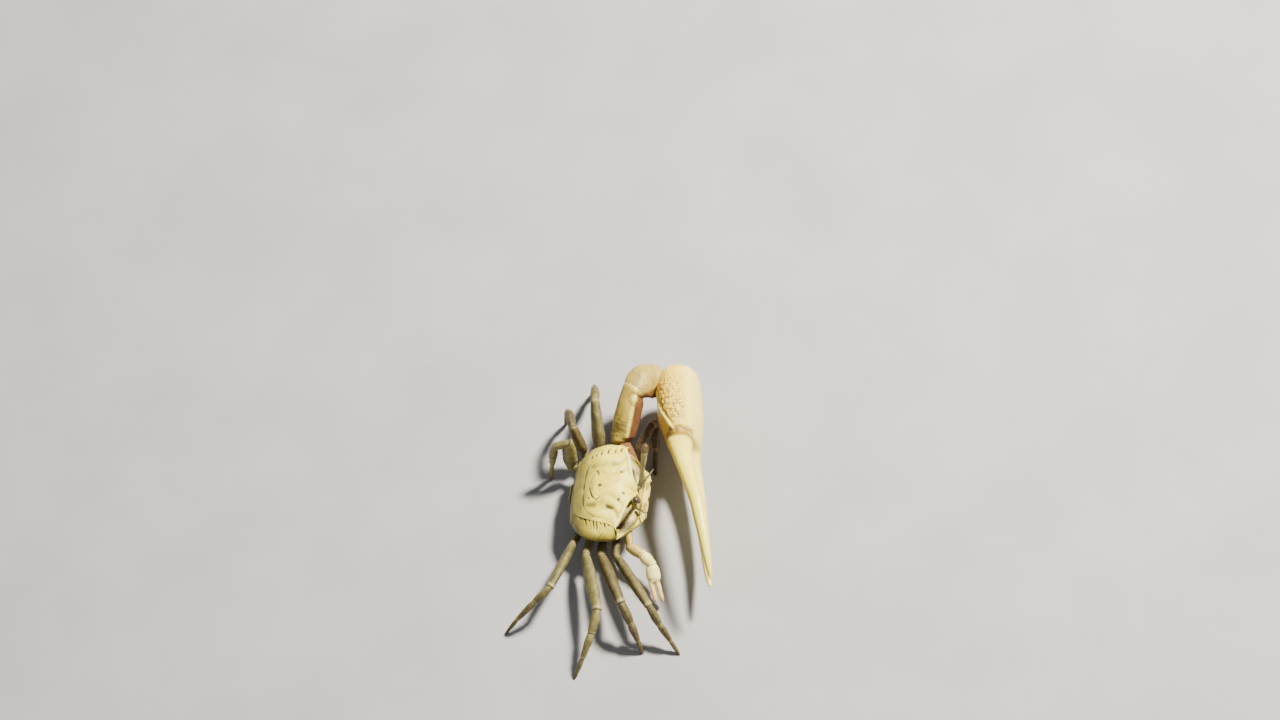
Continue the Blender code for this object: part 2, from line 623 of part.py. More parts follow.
def build_great_claw():
    """Arm, wrist, swollen palm with its fixed finger, and the free upper finger."""
    hip, wall_normal, wall_back = hip_on_wall(1.0, ARM_HIP_AHEAD, ARM_HIP_SHARE)
    hip = hip + wall_normal * HIP_SEAM
    elbow_start, elbow = [place(*bend) for bend in ARM_BENDS]
    wrist = place(*WRIST)
    reach, lean_up, lean_out, outer = claw_frame()
    sideways = (elbow - elbow_start).cross(wrist - elbow).normalized()
    wall_wide = wall_back * (1.0 if wall_back.dot(sideways) > 0.0 else -1.0)
    hip_rings, root = hip_segment(hip, elbow_start, elbow, wall_normal, wall_wide,
                                  sideways, ARM_GIRTH, ARM_SIDES, swell=ARM_SWELL)
    bent_elbow = bend(elbow - elbow_start, wrist - elbow, sideways)
    rings = hip_rings + article_rings(elbow_start, elbow, root, bent_elbow,
                                      ARM_MERUS, ARM_SIDES, 2.4)
    loft("great_claw_merus", rings, "claw")
    rings = article_rings(elbow, wrist, bent_elbow, (outer, sideways), ARM_CARPUS,
                          ARM_SIDES, 2.3, bow=ELBOW_BOW)
    loft("great_claw_carpus", rings, "claw")

    heel = place(*PALM_HEEL)
    rings = []
    for share, shift_up, shift_out, half_high, half_thick in PALM:
        centre = heel + reach * (PALM_LENGTH * share) + lean_up * shift_up
        centre += lean_out * shift_out
        rings.append(oval(centre, lean_out, lean_up, half_thick, half_high, PALM_SIDES, 2.1))
    fork = finger_rings(LOWER_FINGER, FORK_SHARE, LOWER_BULGE)
    rings += [resample(ring, PALM_SIDES) for ring in fork]
    loft("great_claw_palm", rings, "claw")
    loft("great_claw_dactyl", finger_rings(UPPER_FINGER, 1.0, 0.0), "finger")


def resample(ring, count):
    """The same closed outline with another number of points."""
    total = len(ring)
    points = []
    for index in range(count):
        at = (index + 0.5) * total / count - 0.5
        low = math.floor(at)
        points.append(ring[low % total].lerp(ring[(low + 1) % total], at - low))
    return points


# ---- small claw ----------------------------------------------------------------------

SMALL_BENDS = ((-15.6, 5.2, 10.0), (-17.9, 9.4, 10.0), (-20.2, 12.6, 8.6),
               (-24.6, 14.0, 6.4))
SMALL_MERUS = ((0.4, 1.8, 2.0), (1.0, 1.6, 1.7))
SMALL_CARPUS = ((0.0, 1.6, 1.6), (0.4, 1.9, 2.0), (1.0, 1.5, 1.7))
SMALL_TIPS = {"palm": (-30.2, 15.2, 3.2), "dactyl": (-29.8, 17.2, 3.6)}
SMALL_PALM = ((0.35, 2.1, 1.7), (0.75, 2.2, 1.7), (1.0, 1.9, 1.4))
# Fingers of the small claw: they widen again before the tip, like a spoon.
SMALL_FIXED = ((0.0, 0.75, 0.9), (0.45, 0.6, 0.75), (0.85, 0.6, 0.8), (1.0, 0.3, 0.45))
SMALL_FREE = ((0.0, 0.75, 1.0), (0.2, 0.75, 0.95), (0.5, 0.6, 0.75), (0.85, 0.6, 0.8),
              (1.0, 0.3, 0.45))
SMALL_GIRTH = 0.95            # the small arm's hip segment, against a walking leg's


def build_small_claw():
    """The feeding claw: a slim arm, a small palm and two spoon-tipped fingers."""
    hip, wall_normal, wall_back = hip_on_wall(-1.0, ARM_HIP_AHEAD)
    hip = hip + wall_normal * HIP_SEAM
    start, elbow, wrist, knuckle = [place(*bend) for bend in SMALL_BENDS]
    up = Vector((0.0, 0.0, 1.0))
    sideways = (wrist - start).normalized().cross(up)
    wall_wide = wall_back * (1.0 if wall_back.dot(sideways) > 0.0 else -1.0)
    hip_rings, root = hip_segment(hip, start, elbow, wall_normal, wall_wide, sideways,
                                  SMALL_GIRTH, LEG_SIDES)
    bent_elbow = bend(elbow - start, wrist - elbow, sideways)
    rings = hip_rings + article_rings(start, elbow, root, bent_elbow, SMALL_MERUS,
                                      LEG_SIDES)
    loft("small_claw_merus", rings, "small_claw")
    bent_wrist = bend(wrist - elbow, knuckle - wrist, sideways)
    rings = article_rings(elbow, wrist, bent_elbow, bent_wrist, SMALL_CARPUS, LEG_SIDES)
    loft("small_claw_carpus", rings, "small_claw")

    axis = (knuckle - wrist).normalized()
    wide = (place(*SMALL_TIPS["dactyl"]) - place(*SMALL_TIPS["palm"])).normalized()
    wide = (wide - axis * wide.dot(axis)).normalized()
    high = axis.cross(wide)
    begin = wrist + bent_wrist[0] * (GAP / 2.0)
    rings = [cut_ring(begin, axis, bent_wrist[0], wide, 1.5, 1.5, LEG_SIDES)]
    for share, half_wide, half_high in SMALL_PALM:
        rings.append(oval(wrist.lerp(knuckle, share), wide, high, half_wide, half_high,
                          LEG_SIDES))
    tip = place(*SMALL_TIPS["palm"])
    root = knuckle + axis * 0.5 - wide * 1.15
    for share, half_wide, half_high in SMALL_FIXED:
        rings.append(oval(root.lerp(tip, share), wide, high, half_wide, half_high,
                          LEG_SIDES))
    loft("small_claw_palm", rings, "small_claw")
    tip = place(*SMALL_TIPS["dactyl"])
    root = knuckle + axis * 0.85 + wide * 0.95
    rings = [oval(root.lerp(tip, share), wide, high, half_wide, half_high, LEG_SIDES)
             for share, half_wide, half_high in SMALL_FREE]
    loft("small_claw_dactyl", rings, "small_claw")


def settle_origin():
    """Put the origin at the middle of the underside of the whole animal."""
    places = np.array([piece.location + vertex.co for piece in crab.children
                       for vertex in piece.data.vertices])
    low, high = places.min(axis=0), places.max(axis=0)
    crab.location = (-(low[0] + high[0]) / 2.0, -(low[1] + high[1]) / 2.0, -low[2])


crab = clear_scene()
build_carapace()
build_trunk()
build_abdomen()
build_mouth_flaps()
build_eyes()
build_feelers()
build_legs()
build_great_claw()
build_small_claw()
settle_origin()
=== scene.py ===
"""A male fiddler crab as a life-size museum model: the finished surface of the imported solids.

Sizes are in millimetres and become metres where a mesh is made. Places on the animal are
(left, ahead, up) of the body's centre; the crab faces -Y and its left side is +X.
"""

import math

import bpy
import numpy as np
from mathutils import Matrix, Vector


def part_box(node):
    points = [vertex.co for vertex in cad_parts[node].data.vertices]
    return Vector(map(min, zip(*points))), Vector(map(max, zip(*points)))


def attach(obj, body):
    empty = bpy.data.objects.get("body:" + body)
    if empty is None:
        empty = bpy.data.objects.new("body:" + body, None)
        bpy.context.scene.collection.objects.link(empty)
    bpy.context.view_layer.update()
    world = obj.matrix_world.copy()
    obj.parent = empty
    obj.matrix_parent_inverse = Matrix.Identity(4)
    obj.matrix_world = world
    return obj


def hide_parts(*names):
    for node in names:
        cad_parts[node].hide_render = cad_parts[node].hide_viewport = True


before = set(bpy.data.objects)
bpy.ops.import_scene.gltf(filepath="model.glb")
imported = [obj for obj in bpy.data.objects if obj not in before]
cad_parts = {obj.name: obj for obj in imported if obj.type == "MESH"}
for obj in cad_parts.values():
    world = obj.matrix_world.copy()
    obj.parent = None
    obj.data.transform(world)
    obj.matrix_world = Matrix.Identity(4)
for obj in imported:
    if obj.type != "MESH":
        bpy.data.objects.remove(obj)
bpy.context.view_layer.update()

# ---- upper shell ---------------------------------------------------------------------
# The back of a fiddler crab: one broad shield of hard limy shell, with an H of shallow
# furrows, a beaded ridge down each side, scored side walls, and a rolled brow over the eye
# slots. It is fused to the trunk along its lower rim.

# The trunk is the same on both sides of the midline, and its face is its foremost part,
# so its box gives the body's centre.
FACE_AHEAD = 7.55
trunk_low, trunk_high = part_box("trunk")
CENTRE = np.array([(trunk_low.x + trunk_high.x) * 500.0, trunk_low.y * 1000.0 + FACE_AHEAD, 0.0])
CORNER, CORNER_AHEAD = 15.8, 1.7
CREST_UP, FOOT_UP, FOOT_SLOPE = 20.9, 14.3, 0.2
# Edges from above: the side ridge and wall foot as (ahead, half width), the brow the other way.
RIDGE = ((-13.6, 8.0), (-12.2, 9.6), (-9.0, 11.4), (-5.0, 12.6), (-1.5, 13.3), (0.2, 14.3), (1.7, 15.8))
SKIRT = ((-13.6, 11.0), (-12.2, 13.2), (-9.0, 15.6), (-5.0, 16.6), (-1.5, 16.6), (0.2, 16.2), (1.7, 15.6))
BROW = ((0.0, 5.6), (1.6, 5.4), (2.7, 4.8), (4.2, 3.7), (6.5, 2.9), (9.5, 2.2), (12.3, 1.2),
        (14.2, 0.5), (15.8, 1.7))
HIND_EDGE, HIND_BOW = -14.3, 0.7
# Rows of (share down the wall, share of the way outward, share of the fall).
WALL = ((0.0, 0.0, 0.0), (0.25, 0.25, 0.10), (0.5, 0.80, 0.36), (0.75, 1.07, 0.70), (1.0, 1.0, 1.0))
BROW_WALL = ((0.0, 0.0, 0.0), (0.25, -0.05, 0.20), (0.5, 0.9, 0.42), (0.75, 1.0, 0.72), (1.0, 1.0, 1.0))
BROW_RECESS, HIND_RECESS = 3.4, 0.7


def crab(left, ahead, up):
    """Points given as left, ahead, up of the body's centre, turned into X, Y, Z in mm."""
    left, ahead, up = np.broadcast_arrays(left, ahead, up)
    return np.stack([left + CENTRE[0], CENTRE[1] - ahead, up * 1.0], axis=-1)


def between(keys, values, at):
    """Smooth reading between key values without overshoot; a value may be an array."""
    keys, values, at = (np.asarray(item, float) for item in (keys, values, at))
    extra = (1,) * (values.ndim - 1)
    step = np.diff(keys).reshape((-1,) + extra)
    slope = np.diff(values, axis=0) / step
    total = slope[:-1] + slope[1:]
    product = slope[:-1] * slope[1:]
    lean = np.zeros_like(values)
    lean[1:-1] = np.where(product > 0.0, 2.0 * product / np.where(product > 0.0, total, 1.0), 0.0)
    lean[0], lean[-1] = slope[0], slope[-1]
    at = np.clip(at, keys[0], keys[-1])
    cell = np.clip(np.searchsorted(keys, at, side="right") - 1, 0, len(keys) - 2)
    share = ((at - keys[cell]) / np.diff(keys)[cell]).reshape(at.shape + extra)
    rest, width = 1.0 - share, step[cell]
    return (values[cell] * (1.0 + 2.0 * share) * rest ** 2
            + lean[cell] * width * share * rest ** 2
            + values[cell + 1] * share ** 2 * (3.0 - 2.0 * share)
            - lean[cell + 1] * width * share ** 2 * rest)


def curve(table, at, column=1):
    """Read one column of a short table against its first."""
    return between([row[0] for row in table], [row[column] for row in table], at)


def rise(value, low, high):
    """0 below low, 1 above high, smooth between them (low may be the larger)."""
    share = np.clip((value - low) / (high - low), 0.0, 1.0)
    return share * share * (3.0 - 2.0 * share)


def within(value, start, full, fading, end):
    """0 up to start, 1 from full to fading, and 0 again from end on."""
    return rise(value, start, full) * rise(value, end, fading)


def band(value, middle, width):
    """1 at middle, falling to 0 about two widths away on either side."""
    return np.exp(-((value - middle) / width) ** 2)


def wave(value, pitch, shift=0.0):
    """0 to 1 and back once in each pitch."""
    return 0.5 + 0.5 * np.cos(2.0 * math.pi * value / pitch + shift)


def back_height(left, ahead):
    """Height of the shell's upper face."""
    front = 4.1 * np.clip((ahead + 2.0) / 7.6, 0.0, 1.0) ** 3
    front = front * (0.3 + 0.7 * band(left, 0.0, 4.0))
    hind = 6.3 * np.clip((-2.0 - ahead) / 12.3, 0.0, 2.0) ** 2
    return CREST_UP - front - hind - 1.9 * (left / 13.5) ** 2


def floor_height(ahead):
    """The sloping plane on which the upper shell ends."""
    return FOOT_UP + FOOT_SLOPE * (ahead - CORNER_AHEAD)


def shell_top(columns, rows):
    """Left and ahead of a grid over the back, rows from the hind margin to the brow."""
    across = np.linspace(-1.0, 1.0, columns + 1)[None, :]
    forward = np.linspace(0.0, 1.0, rows + 1)[:, None]
    half = curve(RIDGE, RIDGE[0][0] + (CORNER_AHEAD - RIDGE[0][0]) * forward)
    brow = curve(BROW, np.abs(across) * CORNER)
    rear = HIND_EDGE + HIND_BOW * across ** 2
    return across * half, rear + (brow - rear) * forward


def rim_numbers(columns, rows):
    """Numbers of the grid's border points in order round the shell."""
    index = np.arange((rows + 1) * (columns + 1)).reshape(rows + 1, columns + 1)
    return np.concatenate([index[0, :-1], index[:-1, -1], index[-1, :0:-1], index[:0:-1, 0]])


def rim_sides(columns, rows):
    """For the same border points: how far each belongs to the hind edge and to the brow."""
    across = np.abs(np.linspace(-1.0, 1.0, columns + 1))
    other = np.zeros(columns + rows)
    hind = np.concatenate([rise(1.0 - across[:-1], 0.0, 0.12), np.zeros(rows), other])
    return hind, np.concatenate([other, rise(1.0 - across[:0:-1], 0.0, 0.08), np.zeros(rows)])


def foot_of_wall(rim_left, rim_ahead, hind_part, brow_part):
    """How far left the side walls end, for the points of the rim."""
    flank = np.sign(rim_left) * curve(SKIRT, rim_ahead)
    return (brow_part * rim_left * SKIRT[-1][1] / CORNER + hind_part * rim_left * SKIRT[0][1] / RIDGE[0][1]
            + (1.0 - brow_part - hind_part) * flank)


def quads(numbers, after):
    """Four-sided faces between each row of point numbers and the next."""
    return np.stack([numbers[:-1], after[:-1], after[1:], numbers[1:]], axis=-1).reshape(-1, 4)


def grid_faces(rows, columns, wrap):
    """Corner numbers of the four-sided faces of a grid of points."""
    index = np.arange(rows * columns).reshape(rows, columns)
    return quads(index, np.roll(index, -1, axis=1)) if wrap else quads(index[:, :-1], index[:, 1:])


def volume(points, faces):
    """Signed volume, which tells whether the faces look outward."""
    a, b, c, d = (points[faces[:, corner]] - points.mean(axis=0) for corner in range(4))
    return (a * np.cross(b, c)).sum() + (a * np.cross(c, d)).sum()


COLUMNS, ROWS, WALL_ROWS = 250, 190, 46
left, ahead = shell_top(COLUMNS, ROWS)
spots = np.stack([left, ahead], axis=-1).reshape(-1, 2)
rim = rim_numbers(COLUMNS, ROWS)
hind_part, brow_part = rim_sides(COLUMNS, ROWS)
rim_left, rim_ahead = spots[rim, 0], spots[rim, 1]
rim_up = back_height(rim_left, rim_ahead)
foot_left = foot_of_wall(rim_left, rim_ahead, hind_part, brow_part)
recess = BROW_RECESS * np.clip((1.0 - np.abs(rim_left) / CORNER) * 6.0, 0.0, 1.0)
foot_ahead = rim_ahead - recess * brow_part - HIND_RECESS * hind_part
down = np.linspace(0.0, 1.0, WALL_ROWS + 1)[1:, None]
out, fall = (curve(WALL, down, column) * (1.0 - brow_part) + curve(BROW_WALL, down, column) * brow_part
             for column in (1, 2))
wall_left = rim_left + (foot_left - rim_left) * out
wall_ahead = rim_ahead + (foot_ahead - rim_ahead) * out
wall_up = rim_up + (floor_height(wall_ahead) - rim_up) * fall
# The hem turns in under the wall in three rows, dips a little, and rises again.
tuck = np.array([0.25, 0.8, 1.6])[:, None]
HEM_DIP, HEM_SLOPE = 0.12, 0.18
hem = crab(wall_left[-1] * (1.0 - tuck / 16.0), wall_ahead[-1] * (1.0 - tuck / 14.0),
           floor_height(wall_ahead[-1]) - HEM_DIP + HEM_SLOPE * tuck)
points = np.concatenate([crab(spots[:, 0], spots[:, 1], back_height(spots[:, 0], spots[:, 1])),
                         crab(wall_left, wall_ahead, wall_up).reshape(-1, 3), hem.reshape(-1, 3)])
wall_start = len(spots)
wall_rings = WALL_ROWS + len(tuck)
numbers = wall_start + np.arange(wall_rings * len(rim)).reshape(wall_rings, -1)
numbers = np.concatenate([rim[None, :], numbers])
faces = np.concatenate([grid_faces(ROWS + 1, COLUMNS + 1, False),
                        quads(numbers, np.roll(numbers, -1, axis=1))[:, ::-1]])
if volume(points, faces) < 0.0:
    faces = faces[:, ::-1]

# Furrows of the back as (depth, half width, darkness of their painted shade, strength on the left, line).
FURROWS = (
    (0.17, 0.30, 1.0, 0.8, ((-7.0, -10.6), (-4.6, -11.0), (0.0, -11.2), (4.6, -11.0), (7.0, -10.6))),
    (0.38, 0.70, 0.575, 1.0, ((7.4, -3.6), (7.8, -1.9), (8.9, -0.4), (10.8, 0.9))),
    (0.10, 0.26, 1.0, 0.3, ((7.5, -3.4), (7.9, -1.9), (8.9, -0.5), (10.4, 0.5), (11.6, 0.8))),
    (0.34, 1.30, 0.483, 0.9, ((6.9, -9.4), (7.1, -6.6), (7.4, -4.4), (7.9, -1.9))),
    (0.32, 0.30, 0.805, 0.25,
     ((1.0, -9.45), (2.4, -9.0), (3.8, -8.4), (5.0, -7.5), (5.2, -6.7), (4.4, -5.9))),
    (0.20, 0.80, 0.253, 1.0, ((4.2, -6.2), (3.6, -3.4), (5.0, -0.6), (6.4, 1.4))),
    (0.08, 0.16, 0.5175, 1.0, ((1.6, 2.2), (3.0, 1.45))),
    (0.18, 0.55, 0.345, 1.0, ((0.0, 1.6), (0.0, 5.2))),
    (0.12, 0.26, 0.4025, 1.0, ((4.2, 2.6), (6.6, 1.75), (9.4, 1.05), (12.0, 0.15), (13.6, -0.5))),
    (0.12, 0.35, 0.4025, 0.7, ((6.6, -10.6), (8.8, -9.6), (10.6, -7.4), (11.4, -4.6), (11.9, -2.0))),
)
# Pits as (left, ahead, half width), all equally deep.
PITS = ((4.9, -7.6, 0.42), (4.2, -7.25, 0.42), (3.6, -6.9, 0.35), (4.9, 0.0, 0.55), (-0.5, -6.1, 0.65),
        (-5.0, 0.25, 0.55), (-7.7, -2.8, 0.4), (-2.6, 1.7, 0.42), (-2.4, 1.3, 0.3), (-4.5, -9.2, 0.35))
PIT_DEPTH = 0.16
RIDGE_MARK_IN, RIDGE_MARK_REACH, RIDGE_MARK_DEPTH = 0.45, 0.7, 0.2
# Notches that hang from the side ridges, as (place ahead, reach down the wall, half width).
NOTCHES = {
    1.0: ((-10.2, 0.16, 0.2), (-8.9, 0.22, 0.2), (-7.4, 0.3, 0.26), (-5.3, 0.3, 0.28), (-3.1, 0.26, 0.24),
          (-1.3, 0.34, 0.3)),
    -1.0: ((-11.3, 0.16, 0.2), (-9.5, 0.34, 0.26), (-8.2, 0.18, 0.2), (-6.9, 0.36, 0.26), (-5.9, 0.42, 0.24),
           (-4.5, 0.2, 0.22), (-3.3, 0.3, 0.28), (-2.0, 0.16, 0.2), (0.2, 0.55, 0.32)),
}
# Low swellings of the back as (height, left, ahead, width across, width along).
SWELLINGS = ((0.42, 0.0, -1.6, 4.8, 3.6), (0.34, 0.0, -7.6, 3.4, 1.5), (0.42, 9.6, -6.2, 2.0, 3.4),
             (0.30, 12.0, -0.6, 1.8, 1.2))
# The grid's run from brow to hind edge and from ridge to midline, and the ridge's beads.
BROW_RUN, SIDE_RUN, BEAD_PITCH = 19.0, 13.0, 0.62
SCORE_PITCH, SCORE_SLANT, NOTCH_SLANT = 1.15, 5.0, 1.4


def chance(cell, seed):
    """The same number from 0 to 1 for the same cell of a grid, on every run."""
    x, y, z = (cell[..., axis].astype(np.int64) for axis in range(3))
    mixed = (x * 73856093 ^ y * 19349663 ^ z * 83492791 ^ seed * 40503) & 0xFFFFFFFF
    mixed = ((mixed ^ (mixed >> 15)) * 2246822519) & 0xFFFFFFFF
    mixed = ((mixed ^ (mixed >> 13)) * 3266489917) & 0xFFFFFFFF
    return ((mixed ^ (mixed >> 16)) & 0xFFFF) / 65535.0


def lumps(points, size, seed):
    """Soft swellings and hollows, -1 to 1, about size mm apart."""
    at = points / size
    cell = np.floor(at)
    part = at - cell
    part = part * part * (3.0 - 2.0 * part)
    total = 0.0
    for corner in np.ndindex(2, 2, 2):
        weight = np.prod(np.where(corner, part, 1.0 - part), axis=-1)
        total = total + weight * chance(cell + corner, seed)
    return total * 2.0 - 1.0


def beads(points, size, seed):
    """Packed rounded grains about size mm across: 1 on top of a grain, 0 in the gaps."""
    at = points / size
    cell = np.floor(at)
    nearest = np.full(at.shape[:-1], 9.0)
    for near in np.ndindex(3, 3, 3):
        other = cell + near - 1.0
        spot = np.stack([chance(other, seed + axis) for axis in range(3)], axis=-1)
        nearest = np.minimum(nearest, ((other + 0.15 + 0.7 * spot - at) ** 2).sum(axis=-1))
    return np.clip(1.0 - nearest * 1.7, 0.0, 1.0)


def near_line(spots, line, width):
    """1 on a smooth drawn line, falling to 0 about width mm away and towards its ends."""
    line = np.array(line)
    keys = np.linspace(0.0, 1.0, len(line))
    drawn = between(keys, line, np.linspace(0.0, 1.0, 9 * len(line)))
    nearest = np.full(spots.shape[:-1], 1e9)
    for number, (start, end) in enumerate(zip(drawn, drawn[1:])):
        run = end - start
        share = np.clip(((spots - start) @ run) / (run @ run), 0.0, 1.0)
        away = ((spots - start - share[..., None] * run) ** 2).sum(axis=-1)
        thin = width * (0.45 + 0.55 * math.sin(math.pi * (number + 0.5) / (len(drawn) - 1)) ** 0.5)
        nearest = np.minimum(nearest, away / thin ** 2)
    return np.exp(-nearest)


def push(points, faces, amount):
    """Move every point along the surface's own outward direction by amount mm."""
    corners = points[faces]
    face = np.cross(corners[:, 2] - corners[:, 0], corners[:, 3] - corners[:, 1])
    normal = np.zeros_like(points)
    for corner in range(4):
        np.add.at(normal, faces[:, corner], face)
    normal /= np.maximum(np.linalg.norm(normal, axis=1, keepdims=True), 1e-12)
    return points + normal * np.asarray(amount)[..., None]


def relax(points, faces, weight, steps):
    """Round a mesh off where weight is above 0, each point going to its neighbours' mean."""
    pairs = np.concatenate([faces[:, [0, 1]], faces[:, [1, 2]], faces[:, [2, 3]], faces[:, [3, 0]]])
    here, there = np.concatenate([pairs, pairs[:, ::-1]]).T
    count = np.maximum(np.bincount(here, minlength=len(points)), 1)
    for _ in range(steps):
        sums = [np.bincount(here, points[there, axis], len(points)) for axis in range(3)]
        points = points + weight[:, None] * (np.stack(sums, axis=-1) / count[:, None] - points)
    return points


mirrored = np.stack([np.abs(spots[:, 0]), spots[:, 1]], axis=-1)
furrow = np.zeros(len(spots))
dent = np.zeros(len(spots))
broken = 0.25 + 0.75 * rise(lumps(crab(spots[:, 0], spots[:, 1], 0.0), 1.7, 19), -0.35, 0.3)
for depth, width, shadow, left_part, line in FURROWS:
    mark = near_line(mirrored, line, width) * (1.0 - (1.0 - left_part) * rise(spots[:, 0], -0.5, 0.8))
    dent = dent + depth * mark * (0.7 + 0.3 * broken)
    furrow = np.maximum(furrow, mark * shadow * broken)
inside = (RIDGE_MARK_IN - (curve(RIDGE, spots[:, 1]) - spots[:, 0])) / RIDGE_MARK_REACH
marks = [(PIT_DEPTH, band(spots[:, 0], pit_left, width) * band(spots[:, 1], pit_ahead, width))
         for pit_left, pit_ahead, width in PITS]
marks += [(RIDGE_MARK_DEPTH, np.exp(-inside ** 2) * band(spots[:, 1], spot + 0.3, 1.3 * width))
          for spot, _, width in NOTCHES[1.0]]
for depth, mark in marks:
    dent = dent + depth * mark
    furrow = np.maximum(furrow, mark)
swell = sum(height * band(mirrored[:, 0], at_left, wide) * band(mirrored[:, 1], at_ahead, long)
            for height, at_left, at_ahead, wide, long in SWELLINGS)
lip = np.repeat(np.linspace(0.0, 1.0, ROWS + 1), COLUMNS + 1)
side = np.tile(np.abs(np.linspace(-1.0, 1.0, COLUMNS + 1)), ROWS + 1)
behind_brow = (1.0 - lip) * BROW_RUN
brow_lip = band(behind_brow, 0.0, 0.85) * rise(side, 0.16, 0.3)
brow_back = band(behind_brow, 1.5, 0.4) * rise(side, 0.3, 0.45)
beaded = band((1.0 - side) * SIDE_RUN, 0.0, 0.4) * rise(lip, 0.02, 0.1)
top, wall = points[:wall_start], points[wall_start:]
top_relief = (swell - dent + 0.30 * brow_lip - 0.08 * brow_back
              + 0.06 * beaded * (0.5 + 0.5 * wave(mirrored[:, 1], BEAD_PITCH))
              + 0.09 * lumps(top, 2.8, 11) + 0.03 * lumps(top, 0.8, 12)
              + 0.03 * beads(top, 0.5, 13) * rise(side + 0.2 * lumps(top, 3.0, 14), 0.55, 0.95))
# The side walls: notches hanging from the ridge, fine scoring, and grains lower down.
from_left, from_front = wall[:, 0] - CENTRE[0], CENTRE[1] - wall[:, 1]
depth_share = np.repeat(np.concatenate([down[:, 0], np.ones(len(tuck))]), len(rim))
wall_brow = np.tile(brow_part, wall_rings)
notch = band(depth_share, 0.035, 0.022) * (1.0 - wall_brow) * 0.75
notch = notch * rise(lumps(wall, 1.9, 20), -0.45, 0.1) * rise(from_front, -13.0, -10.5)
for sign, row in NOTCHES.items():
    for spot, deep, width in row:
        reach = within(depth_share, 0.0, 0.05, deep - 0.1, deep + 0.1)
        slant = spot + depth_share * NOTCH_SLANT
        mark = band(from_front, slant, width * (1.15 - 0.8 * depth_share)) * reach
        notch = np.maximum(notch, mark * (from_left * sign > 0.0))
scored = within(depth_share, 0.3, 0.45, 0.65, 0.85) * (1.0 - wall_brow) * rise(from_front, -6.5, -4.0)
scores = wave(from_front + depth_share * SCORE_SLANT, SCORE_PITCH, 0.8 * lumps(wall, 2.0, 17))
cuts = rise(scores, 0.8, 0.98) * scored * rise(lumps(wall, 2.4, 18), -0.2, 0.4)
wall_relief = (0.07 * lumps(wall, 1.8, 15) - 0.30 * notch - 0.12 * cuts
               + 0.05 * beads(wall, 0.55, 16) * (1.0 - wall_brow) * rise(depth_share, 0.4, 0.6))
points = push(points, faces, np.concatenate([top_relief, wall_relief]))
points = relax(points, faces, 0.12 + 0.5 * rise(points[:, 1] - CENTRE[1], 13.2, 14.2), 10)
corner_near = rise(np.abs(points[:, 0] - CENTRE[0]), 14.6, 15.7) * rise(CENTRE[1] - points[:, 1], -0.8, 0.8)
points = relax(points, faces, 0.9 * corner_near, 70)
top_zeros, wall_zeros = np.zeros(wall_start), np.zeros(len(wall))
shell_shades = {
    # Painted shade: dark in the furrows, pits, ridge notches and wall scoring.
    "dark": np.concatenate([furrow, np.maximum(notch, cuts * 0.7)]),
    # Painted shade that deepens with the depth of the furrows and pits.
    "furrow_shade": np.concatenate([np.clip(dent * 2.0, 0.0, 1.0), wall_zeros]),
    "edge": np.concatenate([brow_lip, wall_zeros]),
    # Painted shade on the lower part of the side walls.
    "under": np.concatenate([top_zeros, rise(depth_share, 0.5, 0.88)]),
    # Painted shade on the wall under the brow.
    "brow_shade": np.concatenate([top_zeros, wall_brow * rise(depth_share, 0.1, 0.4)]),
    # Painted shade over the rear slope of the back, darker towards the hind edge.
    "hind": rise(points[:, 1] - CENTRE[1] + 0.8 * lumps(points, 3.0, 21), 5.5, 14.0),
}


class Wire:
    """A shader socket that can be used in sums like a number."""

    def __init__(self, paint, socket):
        self.paint = paint
        self.socket = socket

    def maths(self, kind, first, second):
        """One Math node on two sockets or numbers."""
        return self.paint.node("ShaderNodeMath", {"operation": kind}, {0: first, 1: second})

    def __add__(self, other):
        return self.maths("ADD", self, other)

    def __sub__(self, other):
        return self.maths("SUBTRACT", self, other)

    def __rsub__(self, other):
        return self.maths("SUBTRACT", other, self)

    def __mul__(self, other):
        return self.maths("MULTIPLY", self, other)

    __radd__ = __add__
    __rmul__ = __mul__

    def rise(self, low, high):
        """0 to 1 as this socket goes from low to high."""
        return self.paint.node("ShaderNodeMapRange", {"interpolation_type": "SMOOTHSTEP"},
                               {"Value": self, "From Min": low, "From Max": high})

    def mix(self, first, second):
        """Colour first where this socket is 0, second where it is 1."""
        first, second = (item if isinstance(item, Wire) else (*item, 1.0) for item in (first, second))
        return self.paint.node("ShaderNodeMix", {"data_type": "RGBA"},
                               {0: self, 6: first, 7: second}, out=2)


